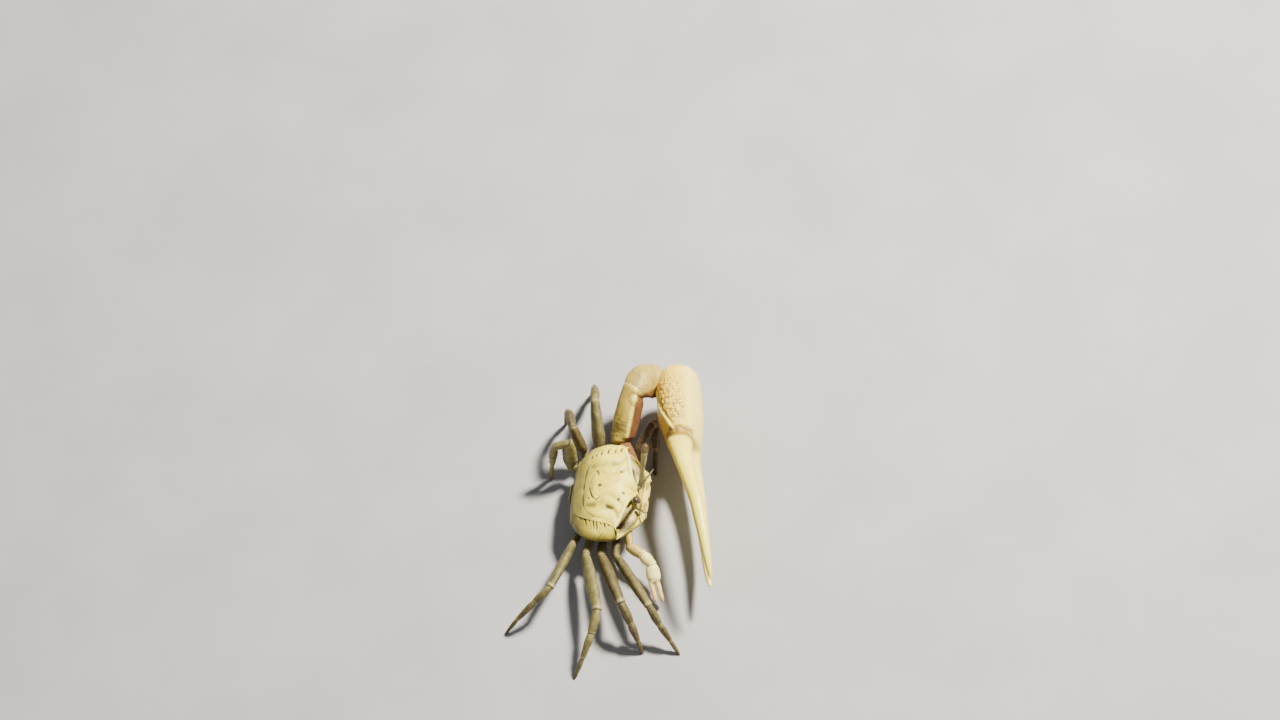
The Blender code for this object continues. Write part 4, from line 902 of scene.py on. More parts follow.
def bend(before, after, sideways):
    """Plane that halves the bend between two segments: its normal and hinge direction."""
    normal = (before.normalized() + after.normalized()).normalized()
    hinge = before.normalized().cross(after.normalized())
    if hinge.length < 0.6:
        return normal, sideways
    hinge = hinge.normalized() if hinge.dot(sideways) > 0.0 else -hinge.normalized()
    return normal, hinge if hinge.dot(sideways) > 0.5 else sideways


def section(centre, axis, normal, side, half_wide, half_high):
    """One tube station on a plane that may be tilted to the tube's axis."""
    wide = (side - normal * side.dot(normal)).normalized()
    high = normal.cross(wide).normalized()
    stretch = 1.0 / max(0.5, abs(axis.normalized().dot(normal)))
    return (centre, wide, high, half_wide, half_high * stretch)


def hip_run(wall_place, start, after, sideways, girth, swell=1.0):
    """Stations of a hip segment from the wall to start, and the plane that it ends on."""
    hip, wall_normal, wall_back = wall_place
    wall_wide = wall_back if wall_back.dot(sideways) > 0.0 else -wall_back
    axis = (start - hip).normalized()
    root = bend(axis, after - start, sideways)
    planes = ((wall_normal, wall_wide), (axis, sideways), root)
    girths = (girth, girth * swell, girth * swell)
    return [section(hip.lerp(start, share), axis, *plane, wide * thick, high * thick)
            for (share, wide, high), plane, thick in zip(HIP, planes, girths)], root


def segment(start, end, first, last, sections, bow=None):
    """Stations of one limb segment between two shared end planes."""
    axis = end - start
    tilts = [math.tan(min(1.1, axis.angle(plane[0]))) for plane in (first, last)]
    stations = []
    for share, half_wide, half_high in sections:
        room = (share * axis.length - half_high * tilts[0],
                (1.0 - share) * axis.length - half_high * tilts[1])
        if bow is None and 0.0 < share < 1.0 and min(room) < SEAM:
            continue
        centre = start.lerp(end, share)
        normal = axis.normalized()
        if share <= 0.0:
            normal = first[0]
        elif share >= 1.0:
            normal = last[0]
        elif bow is not None:
            normal = first[0].lerp(last[0], share).normalized()
            centre = centre + (first[0] - last[0]).normalized() * bow * math.sin(math.pi * share)
        side = first[1].lerp(last[1], share)
        stations.append(section(centre, axis, normal, side, half_wide, half_high))
    return stations


def scaled(sections, girth):
    """The same run of sections on a thicker or thinner limb."""
    return [(share, wide * girth, high * girth) for share, wide, high in sections]


paint = Paint("leg_paint", Specular_IOR_Level=0.4)
mottle = paint.noise(2.6, 5.0).rise(0.4, 0.62)
colour = paint.over(
    mottle.mix((0.080, 0.070, 0.022), (0.15, 0.130, 0.040)),
    (paint.shade("light") * (0.5 + 0.5 * mottle), (0.26, 0.228, 0.07)),
    (paint.noise(0.9, 5.0).rise(0.5, 0.68) * 0.45, (0.24, 0.20, 0.085)),
    (paint.noise(1.1, 5.0).rise(0.56, 0.7) * 0.6, (0.055, 0.038, 0.016)),
    (paint.shade("maroon") * 0.85,
     paint.noise(1.5, 5.0).rise(0.4, 0.65).mix((0.045, 0.022, 0.014), (0.11, 0.06, 0.035))),
    # Painted shade on the undersides of the legs.
    (paint.shade("belly") * 0.5, (0.09, 0.06, 0.028)),
    (paint.shade("pale") * 0.75, (0.40, 0.33, 0.14)),
    (paint.shade("horn") * 0.85, (0.10, 0.05, 0.018)),
    # Painted shade in the furrows of carpus and propodus and between the toe's ribs, and the dark joint skin
    # at the ends.
    (paint.shade("cut") * 0.7, (0.05, 0.032, 0.015)))
leg_paint = paint.finish(colour, 0.42 + 0.25 * paint.noise(1.2, 3.0),
                         paint.noise(0.3, 5.0) * 0.6 + paint.cells(0.35).rise(0.0, 0.5) * 0.5, 0.045)


def leg_piece(leg, kind, made, seed):
    """Add the cuticle's ridges, rims and scales to a leg segment and put it in the scene."""
    points, share, angle = made["points"], made["share"], made["angle"]
    upper = rise(-np.sin(angle), 0.6, 1.0)
    mid = within(share, 0.03, 0.12, 0.9, 0.99)
    rim = band(share, 0.975, 0.02) * (kind != "toe")
    relief = 0.05 * lumps(points, 1.3, seed) + 0.02 * lumps(points, 0.45, seed + 1)
    cut = 0.0
    if kind == "merus":
        scales = wave(share * made["length"], SCALE_PITCH, 2.2 * lumps(points, 1.1, seed + 2))
        relief = relief + (0.09 + 0.03 * scales) * upper * mid
        relief = relief + 0.03 * beads(points, 0.42, seed + 3) * mid * rise(np.abs(np.sin(angle)), 0.3, 0.9)
    elif kind in ("carpus", "propodus"):
        for turn in (-RIDGE_TURN, 0.0, RIDGE_TURN):
            relief = relief + 0.06 * band(angle, TOP + turn, 0.16) * mid
        furrow = band(np.abs(angle - TOP), 0.5 * RIDGE_TURN, 0.1) * mid
        relief = relief - 0.04 * furrow + 0.03 * beads(points, 0.38, seed + 3) * mid
        cut = 0.2 * furrow
    else:
        ribs = 0.5 + 0.5 * np.cos(angle * 6.0)
        relief = relief * 0.5 + 0.05 * ribs * within(share, 0.05, 0.2, 0.8, 1.0)
        cut = 0.3 * (1.0 - ribs) * rise(share, 0.05, 0.3)
    light, maroon = LEG_TINT[leg]
    joint = np.maximum(rise(share, 0.996, 1.03) * (kind != "toe"), rise(share, 0.0, -0.05) * (kind != "hip"))
    node = {"hip": "merus", "toe": "dactyl"}.get(kind, kind)
    dress(leg + "_" + kind + "_skin", made, relief + 0.07 * rim, "leg", (leg + "_" + node,), leg_paint,
          pale=np.maximum(rim, 0.45 * band(share, 0.05, 0.05) * (kind != "hip")),
          # The undersides carry painted shade.
          belly=rise(np.sin(angle), 0.2, 0.9), cut=np.maximum(cut, joint * 0.8),
          horn=rise(share, 0.55, 0.95) * (kind == "toe"), light=light, maroon=maroon)


leg_tubes = []
for number, (leg, (hip_ahead, *places)) in enumerate(LEGS.items()):
    sign = math.copysign(1.0, places[0][0])
    girth = LEG_GIRTH[leg[-1]]
    wall_place = hip_on_wall(sign, hip_ahead)
    merus, knee, ankle, foot_joint, toe = [vec(*spot) for spot in places]
    outward = toe - wall_place[0]
    outward.z = 0.0
    sideways = outward.normalized().cross(UPRIGHT)
    hip_part, root = hip_run(wall_place, merus, knee, sideways, girth)
    bent_knee = bend(knee - merus, ankle - knee, sideways)
    bent_ankle = bend(ankle - knee, foot_joint - ankle, sideways)
    bent_foot = bend(foot_joint - ankle, toe - foot_joint, sideways)
    axis = toe - foot_joint
    toe_planes = [bent_foot] + [(axis.normalized(), sideways)] * (len(DACTYL) - 1)
    toe_part = [section(foot_joint.lerp(toe, share), axis, *plane, wide, high)
                for (share, wide, high), plane in zip(scaled(DACTYL, girth), toe_planes)]
    made = {
        "hip": tube(hip_part, 24, 44, 2.0, (0.6, 0.25)),
        "merus": tube(segment(merus, knee, root, bent_knee, scaled(MERUS, girth)),
                      110, 60, 2.0, (0.5, 0.45)),
        "carpus": tube(segment(knee, ankle, bent_knee, bent_ankle, scaled(CARPUS, girth), KNEE_BOW),
                       52, 56, 2.0, (0.6, 0.45)),
        "propodus": tube(segment(ankle, foot_joint, bent_ankle, bent_foot, scaled(PROPODUS, girth)),
                         56, 52, 2.0, (0.6, 0.5)),
        "toe": tube(toe_part, 64, 48, 2.0, (0.6, 0.1)),
    }
    made["toe"]["points"][:, 2] = np.maximum(made["toe"]["points"][:, 2], ABOVE_FLOOR)
    for step, (kind, piece) in enumerate(made.items()):
        leg_piece(leg, kind, piece, 100 + 10 * number + step)
        leg_tubes.append((leg, kind, piece))

# ---- great claw ----------------------------------------------------------------------
# The male's one huge claw, of thick limy shell: a stout arm, a swollen palm that is grained
# above and polished below, and two long ivory fingers with small teeth along their facing
# edges. Its hip sits in a socket at the front of the side wall.

ARM_HIP_AHEAD, ARM_HIP_SHARE, HIP_SUNK, ARM_GIRTH, ARM_SWELL = 4.4, 0.45, 2.4, 1.05, 1.36
ARM_BENDS = ((20.4, -1.8, 12.3), (32.4, 0.5, 23.4), (38.8, 6.3, 19.8))
# Rows of (share of the length, half width, half height).
ARM_MERUS = ((0.0, 3.2, 3.0), (0.16, 3.9, 3.3), (0.4, 4.1, 3.9), (0.75, 3.8, 4.1), (0.93, 3.6, 3.7),
             (1.0, 3.3, 3.4))
ARM_CARPUS = ((0.0, 3.6, 2.8), (0.25, 4.7, 3.7), (0.5, 5.15, 4.4), (0.75, 5.15, 4.5), (1.0, 4.5, 3.7))
ELBOW_BOW = 1.3
PALM_LENGTH, PALM_HEEL = 28.0, (44.0, 13.6, 17.6)
PALM_TURN, PALM_LEAN = math.radians(9.6), math.radians(15.0)
# Rows of (share of the palm's length, shift up, shift out, half height, half thickness).
PALM = ((0.0, 0.3, 0.0, 4.4, 3.6), (0.035, 0.2, 0.0, 7.0, 5.1), (0.12, 0.1, -0.1, 9.3, 6.3),
        (0.32, 0.0, -0.3, 10.6, 6.9), (0.55, 0.0, -0.3, 10.8, 6.9), (0.78, 0.0, 0.0, 10.2, 6.0),
        (0.92, -0.3, 0.4, 9.2, 5.0))
# The keel's place round the palm in degrees, for shares of the palm's length.
KEEL = ((0.1, 164.0), (0.2, 158.0), (0.3, 150.0), (0.55, 135.0), (0.69, 122.0), (0.83, 108.0), (0.95, 98.0))
FINGER_LENGTH, FINGER_TURN, LOWER_BULGE, FORK_SHARE = 48.0, 0.125, 1.6, 0.94
# Rows of (share of the finger's length, height, half height, half thickness).
LOWER_FINGER = ((0.045, -4.9, 4.6, 3.8), (0.12, -5.7, 3.5, 3.0), (0.3, -6.4, 2.7, 2.4),
                (0.5, -6.8, 2.35, 2.0), (0.7, -6.6, 2.05, 1.6), (0.86, -5.6, 1.6, 1.15),
                (0.95, -4.6, 1.05, 0.8), (0.995, -3.8, 0.45, 0.4))
UPPER_FINGER = ((0.0, 4.9, 4.3, 3.9), (0.1, 6.6, 3.5, 3.3), (0.28, 8.5, 2.8, 2.6), (0.48, 8.9, 2.5, 2.2),
                (0.68, 8.2, 2.1, 1.8), (0.85, 6.6, 1.6, 1.25), (0.95, 5.0, 1.1, 0.8), (0.985, 4.2, 0.5, 0.4))
# Where the one big tooth stands, as a share of the tube's length; NO_TOOTH is beyond its end.
LOWER_TOOTH, UPPER_TOOTH, NO_TOOTH = 0.72, 0.47, 2.0
heel = vec(*PALM_HEEL)
along_claw = vec(-math.cos(PALM_TURN), math.sin(PALM_TURN), 0.0) - vec(0.0, 0.0, 0.0)
outer = vec(math.sin(PALM_TURN), math.cos(PALM_TURN), 0.0) - vec(0.0, 0.0, 0.0)
lean_up = UPRIGHT * math.cos(PALM_LEAN) - outer * math.sin(PALM_LEAN)
lean_out = outer * math.cos(PALM_LEAN) + UPRIGHT * math.sin(PALM_LEAN)


def finger_stations(sections, start_share, bow_out):
    """Sections of a finger, which bends outward as a whole and stands up straighter."""
    base = heel + along_claw * (PALM_LENGTH * start_share)
    stations = []
    for share, height, half_high, half_thick in sections:
        blend = min(1.0, share * 2.2)
        rising = (lean_up * (1.0 - blend) + UPRIGHT * blend).normalized()
        out = (lean_out * (1.0 - blend) + outer * blend).normalized()
        centre = base + along_claw * (FINGER_LENGTH * share) + rising * height
        bulge = bow_out * math.sin(math.pi * min(1.0, share * 1.1))
        centre += outer * (FINGER_LENGTH * share * FINGER_TURN + bulge)
        stations.append((centre, out, rising, half_thick, half_high))
    return stations


def teeth_row(made, centre_share, spacing, seed):
    """Rounded teeth along a biting edge, with one larger tooth, 0 to 1."""
    phase = made["share"] * made["length"] / spacing
    number = np.floor(phase).astype(int)
    sizes = 0.55 + 0.45 * np.random.default_rng(seed).random(400)
    row = np.sqrt(np.clip(1.0 - (2.0 * (phase - number) - 1.0) ** 2, 0.0, 1.0)) * sizes[number % 400]
    return row + 1.9 * band(made["share"], centre_share, 0.014)


def claw_paint(name, base, bright, warm, gloss):
    """Hard limy shell: two creams, warm edges, painted shade in the pits between grains and in the creases,
    dark joint lines, and a soft polish.
    """
    paint = Paint(name, Specular_IOR_Level=0.5)
    olive = paint.shade("olive") * (0.55 + 0.6 * paint.noise(1.5, 5.0).rise(0.35, 0.65))
    maroon = paint.noise(1.8, 5.0).rise(0.35, 0.7).mix((0.09, 0.024, 0.008), (0.17, 0.055, 0.016))
    colour = paint.over(
        paint.noise(7.0, 3.0).rise(0.36, 0.64).mix(base, bright),
        (paint.noise(1.4, 6.0).rise(0.52, 0.74) * 0.3, warm),
        (paint.shade("warm") * 0.85, warm), (paint.shade("pale") * 0.85, (0.95, 0.83, 0.21)),
        (olive, (0.19, 0.16, 0.055)), (paint.shade("red") * 0.96, maroon),
        # Painted shade in pits, wrinkles and grooves, with the dark joint lines.
        (paint.shade("cut") * 0.85, (0.17, 0.095, 0.025)))
    rough = gloss + 0.2 * paint.noise(1.6, 4.0) + 0.18 * paint.shade("grain") + 0.25 * paint.shade("red")
    return paint.finish(colour, rough, paint.noise(0.3, 5.0) + paint.cells(0.32) * 0.5, 0.02)


arm_paint = claw_paint("arm_paint", (0.44, 0.33, 0.05), (0.62, 0.46, 0.065), (0.62, 0.36, 0.06), 0.32)
palm_paint = claw_paint("palm_paint", (0.86, 0.59, 0.055), (0.93, 0.68, 0.075), (0.66, 0.33, 0.045), 0.26)
finger_paint = claw_paint("finger_paint", (0.94, 0.80, 0.09), (0.96, 0.87, 0.13), (0.80, 0.50, 0.07), 0.22)

arm_start, elbow, wrist = [vec(*spot) for spot in ARM_BENDS]
sideways = (elbow - arm_start).cross(wrist - elbow).normalized()
hip_part, root = hip_run(hip_on_wall(1.0, ARM_HIP_AHEAD, ARM_HIP_SHARE, HIP_SUNK), arm_start, elbow,
                         sideways, ARM_GIRTH, ARM_SWELL)
bent_elbow = bend(elbow - arm_start, wrist - elbow, sideways)

# The hip segment is maroon all round and sinks into the wall.
arm_hip = tube(hip_part, 40, 64, 2.0, (0.6, 0.3))
relief = (0.10 * lumps(arm_hip["points"], 1.4, 201) + 0.05 * beads(arm_hip["points"], 0.45, 202)
          + 0.12 * band(arm_hip["share"], 0.93, 0.05))
dress("great_claw_hip_skin", arm_hip, relief, "claw", ("great_claw_merus",), arm_paint,
      warm=0.0, pale=0.0, olive=0.2, red=1.0, cut=0.35, grain=1.0)

# The merus has a pale ridge, a maroon inner face, cross wrinkles and a knob near its end.
merus = tube(segment(arm_start, elbow, root, bent_elbow, ARM_MERUS), 170, 130, 2.4, (0.4, 0.25))
points, share, degrees = merus["points"], merus["share"], np.degrees(merus["angle"])
KNOB_SHARE, KNOB_TURN = 0.87, 145.0
knob_at = points[np.argmin(np.abs(share - KNOB_SHARE) + 0.01 * np.abs(degrees - KNOB_TURN))]
knob_away = np.linalg.norm(points - knob_at, axis=1)
knob, knob_ring = band(knob_away, 0.0, 1.3), band(knob_away, 2.0, 0.6)
ridge = band(degrees, 142.0, 10.0) * rise(share, 0.05, 0.2)
inner_face = within(degrees, 152.0, 160.0, 312.0, 330.0)
wrinkles = rise(wave(share * merus["length"], 1.5, 3.0 * lumps(points, 1.6, 204)), 0.5, 1.0)
wrinkles = wrinkles * within(degrees, 20.0, 45.0, 130.0, 150.0)
tips = rise(share, 0.95, 0.985)
relief = (0.4 * knob - 0.12 * knob_ring + 0.32 * ridge * (0.7 + 0.3 * teeth_row(merus, NO_TOOTH, 0.9, 5))
          + 0.07 * lumps(points, 2.2, 205) + 0.03 * beads(points, 0.8, 203) * (1.0 - inner_face)
          + 0.03 * wrinkles * rise(share, 0.7, 0.4)
          + 0.06 * band(share, 0.965, 0.022) - 0.12 * inner_face)
dress("great_claw_merus_skin", merus, relief, "claw", ("great_claw_merus",), arm_paint,
      warm=np.maximum(0.5 * tips, 0.8 * knob_ring),
      pale=np.clip(0.95 * ridge * (1.0 - knob_ring) + 0.3 * tips + 0.8 * knob, 0.0, 1.0),
      olive=(1.0 - inner_face) * (1.0 - ridge) * (0.15 + 0.85 * rise(share, 0.65, 0.25))
      * (0.45 + 0.55 * rise(lumps(points, 1.3, 206), -0.1, 0.5)),
      red=inner_face * (1.0 - knob), grain=0.25,
      cut=np.maximum(0.6 * wrinkles * rise(share, 0.55, 0.25), 0.55 * knob_ring * rise(share, 0.84, 0.89)))

# The carpus is the rounded elbow. The knob of the merus swells its rim a little too.
carpus = tube(segment(elbow, wrist, bent_elbow, (outer, sideways), ARM_CARPUS, ELBOW_BOW),
              120, 130, 2.3, (0.45, 0.75))
points, share, degrees = carpus["points"], carpus["share"], np.degrees(carpus["angle"])
knob = band(np.linalg.norm(points - knob_at, axis=1), 0.0, 1.6)
inner_face = within(degrees, 172.0, 186.0, 312.0, 330.0)
relief = (0.08 * lumps(points, 2.4, 208) + 0.05 * beads(points, 0.75, 207) * (1.0 - inner_face)
          + 0.4 * knob + 0.12 * band(share, 0.97, 0.05) - 0.08 * band(share, 0.87, 0.04))
dress("great_claw_carpus_skin", carpus, relief, "claw", ("great_claw_carpus",), arm_paint,
      warm=0.2 * rise(share, 0.7, 0.95), pale=np.maximum(0.3 * rise(share, 0.1, 0.0), knob),
      olive=(0.5 + 0.2 * rise(share, 0.8, 0.3)) * (1.0 - knob), red=inner_face * 0.9,
      cut=0.4 * band(share, 0.9, 0.02), grain=0.5)

# The palm and its fixed finger are one piece: a keel, coarse grains above it, a smooth side
# below, a joint line round the moving finger's socket, and teeth along the finger's edge.
stations = [(heel + along_claw * (PALM_LENGTH * share) + lean_up * shift_up + lean_out * shift_out,
             lean_out, lean_up, half_thick, half_high)
            for share, shift_up, shift_out, half_high, half_thick in PALM]
stations += finger_stations(LOWER_FINGER, FORK_SHARE, LOWER_BULGE)
palm = tube(stations, 400, 210, 2.1, (0.35, 0.8))
points, share, degrees = palm["points"], palm["share"], np.degrees(palm["angle"])
along = (points - np.array(heel)) @ np.array(along_claw) / PALM_LENGTH
on_palm = rise(along, 1.02, 0.9)
keel_at = curve(KEEL, along)
keel = band(degrees, keel_at, 4.5) * within(along, 0.12, 0.3, 0.85, 0.95)
keel_groove = band(degrees, keel_at - 9.0, 4.0) * within(along, 0.2, 0.35, 0.8, 0.9)
inner_face = rise(degrees, keel_at + 3.0, keel_at + 12.0) * rise(degrees, 325.0, 300.0)
grained = (rise(keel_at - degrees, 6.0, 16.0) * rise(degrees, 46.0, 68.0)
           * within(along, 0.02, 0.12, 0.8, 0.93))
coarse = grained * rise(degrees, 52.0, 68.0) * within(along, 0.15, 0.3, 0.72, 0.85)
smooth_side = rise(degrees, 68.0, 45.0) + rise(degrees, 330.0, 345.0)
grains, fine = beads(points, 0.98, 211), beads(points, 0.5, 212)
edge_row = band(degrees, 90.0, 13.0) * rise(along, 1.0, 1.06) * rise(share, 0.995, 0.96)
lower_row = band(degrees, 262.0, 5.0) * within(along, 0.1, 0.25, 1.2, 1.6)
joint_away = (along - 0.885 + 0.018 * lumps(points, 0.9, 219)) / 0.02
joint_part = within(degrees, 20.0, 40.0, 140.0, 160.0)
joint, joint_shade = band(joint_away, 0.0, 1.0) * joint_part, band(joint_away, 0.5, 1.7) * joint_part
pits = (rise(1.0 - grains, 0.3, 0.75) * coarse * (0.4 + 0.6 * band(along, 0.6, 0.2))
        + rise(1.0 - fine, 0.6, 0.95) * grained * 0.4)
relief = (0.42 * keel * (0.8 + 0.2 * teeth_row(palm, NO_TOOTH, 0.8, 7)) - 0.2 * keel_groove
          + 0.36 * coarse * grains + 0.08 * grained * fine + 0.10 * lumps(points, 4.0, 213) * on_palm
          + 0.05 * beads(points, 0.6, 214) * inner_face * on_palm
          + 0.34 * edge_row * teeth_row(palm, LOWER_TOOTH, 1.15, 6)
          + 0.22 * lower_row * teeth_row(palm, NO_TOOTH, 0.75, 8)
          - 0.35 * joint + 0.02 * lumps(points, 0.8, 215))
dress("great_claw_palm_skin", palm, relief, "claw", ("great_claw_palm",), palm_paint,
      warm=np.clip(inner_face * on_palm * 0.75 + 0.35 * grained * rise(degrees, 90.0, 130.0), 0.0, 1.0),
      # Pale: the smooth side and the finger's ivory, and the keel, whose pale is partly its own colour and
      # partly painted light.
      pale=np.clip(np.maximum(0.95 * smooth_side, rise(along, 0.95, 1.1)) * (1.0 - inner_face * on_palm)
                   + keel, 0.0, 1.0),
      olive=0.0, red=0.1 * inner_face * on_palm * within(along, 0.35, 0.6, 0.85, 1.0),
      # Painted shade in the pits between grains and in the keel groove, and the dark joint line round the
      # socket with painted shade beside it.
      cut=np.clip(0.95 * pits + joint_shade + 0.15 * keel_groove, 0.0, 1.0), grain=grained)

# The moving finger, grained only at its root, with a long furrow on its outer side.
finger = tube(finger_stations(UPPER_FINGER, 1.0, 0.0), 300, 120, 2.2, (0.75, 0.8), 12)
points, share, degrees = finger["points"], finger["share"], np.degrees(finger["angle"])
edge_row = band(degrees, 270.0, 13.0) * within(share, 0.08, 0.14, 0.95, 0.995)
root_grains = rise(share, 0.16, 0.0) * beads(points, 0.6, 216)
furrow = band(degrees, 30.0, 7.0) * within(share, 0.06, 0.2, 0.7, 0.9)
rim = band(share, 0.015, 0.02)
relief = (0.34 * edge_row * teeth_row(finger, UPPER_TOOTH, 1.2, 9) + 0.05 * root_grains + 0.08 * rim
          - 0.10 * furrow + 0.05 * lumps(points, 2.6, 217) + 0.015 * lumps(points, 0.7, 218))
dress("great_claw_dactyl_skin", finger, relief, "finger", ("great_claw_dactyl",), finger_paint,
      warm=np.clip(0.45 * within(degrees, 120.0, 165.0, 190.0, 215.0) + 0.45 * rim, 0.0, 1.0),
      pale=0.5 * rise(share, 0.5, 1.0), olive=0.0, red=0.0,
      cut=np.clip(0.2 * rise(1.0 - root_grains, 0.5, 0.9) * rise(share, 0.12, 0.02) + 0.2 * furrow
                  + rise(share, 0.0, -0.025), 0.0, 1.0), grain=0.0)

# ---- small claw ----------------------------------------------------------------------
# The feeding claw: a slim olive arm, a pale palm and two spoon-tipped pinkish fingers, of
# thin shell. It is jointed like the great claw.

SMALL_GIRTH = 0.95
SMALL_BENDS = ((-15.6, 5.2, 10.0), (-17.9, 9.4, 10.0), (-20.2, 12.6, 8.6), (-24.6, 14.0, 6.4))
SMALL_TIPS = {"palm": (-30.2, 15.2, 3.2), "dactyl": (-29.8, 17.2, 3.6)}
# Rows of (share of the length, half width, half height).
SMALL_MERUS = ((0.0, 1.5, 1.6), (0.4, 1.8, 2.0), (1.0, 1.6, 1.7))
SMALL_CARPUS = ((0.0, 1.5, 1.5), (0.4, 1.9, 2.0), (1.0, 1.5, 1.7))
SMALL_PALM = ((0.0, 1.45, 1.45), (0.35, 2.1, 1.75), (0.75, 2.2, 1.75), (1.0, 1.8, 1.4))
SMALL_FIXED = ((0.08, 0.85, 0.95), (0.45, 0.62, 0.75), (0.85, 0.66, 0.82), (1.0, 0.4, 0.5))
SMALL_FREE = ((0.0, 0.75, 1.0), (0.2, 0.78, 0.95), (0.5, 0.62, 0.75), (0.85, 0.66, 0.82), (1.0, 0.4, 0.5))
SMALL_OLIVE = {"hip": 1.0, "merus": 0.85, "carpus": 0.15, "palm": 0.0, "dactyl": 0.0}
# How far beyond the knuckle and to either side of it the two fingers start.
FIXED_ROOT, FREE_ROOT = (0.5, -1.15), (0.85, 0.95)
paint = Paint("small_claw_paint", Specular_IOR_Level=0.5)
colour = paint.over(
    paint.noise(2.2, 5.0).rise(0.36, 0.64).mix((0.86, 0.76, 0.24), (0.95, 0.88, 0.36)),
    (paint.noise(0.8, 5.0).rise(0.55, 0.72) * 0.3, (0.52, 0.34, 0.10)),
    (paint.shade("olive") * 0.9, (0.33, 0.205, 0.035)), (paint.shade("pink") * 0.9, (0.80, 0.42, 0.15)),
    # Painted shade in the finger grooves, and the dark joint at each piece's root.
    (paint.shade("cut") * 0.75, (0.22, 0.14, 0.06)))
small_paint = paint.finish(colour, 0.3 + 0.25 * paint.noise(1.0, 4.0), paint.noise(0.3, 5.0), 0.03)

arm_start, elbow, wrist, knuckle = [vec(*spot) for spot in SMALL_BENDS]
fixed_tip, free_tip = vec(*SMALL_TIPS["palm"]), vec(*SMALL_TIPS["dactyl"])
sideways = (wrist - arm_start).normalized().cross(UPRIGHT)
hip_part, root = hip_run(hip_on_wall(-1.0, ARM_HIP_AHEAD, sunk=HIP_SUNK), arm_start, elbow, sideways,
                         SMALL_GIRTH)
bent_elbow = bend(elbow - arm_start, wrist - elbow, sideways)
bent_wrist = bend(wrist - elbow, knuckle - wrist, sideways)
axis = (knuckle - wrist).normalized()
spread = (free_tip - fixed_tip).normalized()
spread = (spread - axis * spread.dot(axis)).normalized()
lift = axis.cross(spread)
fixed_root, free_root = (knuckle + axis * beyond + spread * aside
                         for beyond, aside in (FIXED_ROOT, FREE_ROOT))


def straight(start, end, sections):
    """Stations of a straight run whose sections all face the same way."""
    return [(start.lerp(end, share), spread, lift, half_wide, half_high)
            for share, half_wide, half_high in sections]


palm_part = straight(wrist, knuckle, SMALL_PALM) + straight(fixed_root, fixed_tip, SMALL_FIXED)
small_tubes = {
    "hip": tube(hip_part, 26, 48, 2.0, (0.6, 0.3)),
    "merus": tube(segment(arm_start, elbow, root, bent_elbow, SMALL_MERUS), 70, 64, 2.0, (0.5, 0.3)),
    "carpus": tube(segment(elbow, wrist, bent_elbow, bent_wrist, SMALL_CARPUS), 70, 64, 2.0, (0.6, 0.35)),
    "palm": tube(palm_part, 170, 72, 2.1, (0.6, 0.8)),
    "dactyl": tube(straight(free_root, free_tip, SMALL_FREE), 110, 52, 2.1, (1.2, 0.8)),
}
for number, (kind, made) in enumerate(small_tubes.items()):
    share, degrees, points = made["share"], np.degrees(made["angle"]), made["points"]
    rim = band(share, 0.96, 0.03) * (kind in ("merus", "carpus"))
    finger = rise(share, 0.45, 0.6) if kind == "palm" else float(kind == "dactyl")
    # The palm's finger bites on the side at 0 degrees, the moving one on the side at 180.
    biting = sum(band(degrees, at, 20.0) for at in ((0.0, 360.0) if kind == "palm" else (180.0,)))
    groove = band(np.abs(degrees - 270.0), 32.0, 8.0) * finger * rise(share, 0.98, 0.9)
    relief = (0.05 * lumps(points, 1.6, 221 + number) + 0.12 * rim - 0.05 * groove
              + 0.018 * beads(points, 0.5, 231 + number) * (1.0 - finger)
              + 0.08 * biting * finger * (0.5 + 0.5 * np.cos(share * 180.0)))
    node = "merus" if kind == "hip" else kind
    dress("small_claw_" + kind + "_skin", made, relief, "small_claw", ("small_claw_" + node,), small_paint,
          olive=SMALL_OLIVE[kind] * (1.0 - rim), pink=finger * (0.35 + 0.5 * share.clip(0.0, 1.0)),
          cut=np.maximum(0.4 * groove, rise(share, 0.03, -0.02) * 0.7))

# ---- bristles ------------------------------------------------------------------------
# Stiff little hairs of brown chitin: fringes along the walking legs, a dark felt between
# the hips, and fine golden fringes on the mouth flaps and the feeding fingers.

# Each bristle is a bent cone: rings at these shares of its length, and a tip.
HAIR_SHARES, HAIR_SIDES, HAIR_HALF, HAIR_SUNK = (0.0, 0.4, 0.75), 3, 0.034, 0.06
# Half the width of one bristle's place on the unwrapped sheet.
PATCH = 0.0015


def unit(directions):
    """The same directions, one mm long."""
    return directions / np.maximum(np.linalg.norm(directions, axis=1, keepdims=True), 1e-9)


def grow(made, weight, number, length, lean, rng):
    """Roots, directions, lengths and unwrapped places of bristles on a grid of points."""
    rows, columns = made["shape"]
    grid = made["points"].reshape(rows, columns, 3)
    weight = weight.reshape(rows, columns).copy()
    weight[-1] = 0.0
    spot = rng.choice(rows * columns, number, p=(weight / weight.sum()).reshape(-1))
    row, column = np.divmod(spot, columns)
    here, far = grid[row, column], grid[row + 1, column]
    beside = grid[row, (column + 1) % columns]
    part = rng.random((number, 2, 1))
    root = here + part[:, 0] * (far - here) + part[:, 1] * (beside - here)
    along = grid[np.minimum(row + 3, rows - 1), column] - grid[np.maximum(row - 3, 0), column]
    around = grid[row, (column + 2) % columns] - grid[row, (column - 2) % columns]
    normal = np.cross(along, around)
    normal *= np.sign(((here - grid.mean(axis=1)[row]) * normal).sum(axis=1))[:, None]
    along, normal = unit(along), unit(normal)
    towards = unit(normal * math.cos(lean) + along * math.sin(lean) + rng.normal(0.0, 0.22, (number, 3)))
    unwrapped = np.stack([(column + part[:, 1, 0]) / columns, (row + part[:, 0, 0]) / rows], axis=-1)
    return (root - HAIR_SUNK * normal, towards, along, length * (0.55 + 0.75 * rng.random(number)),
            unwrapped)


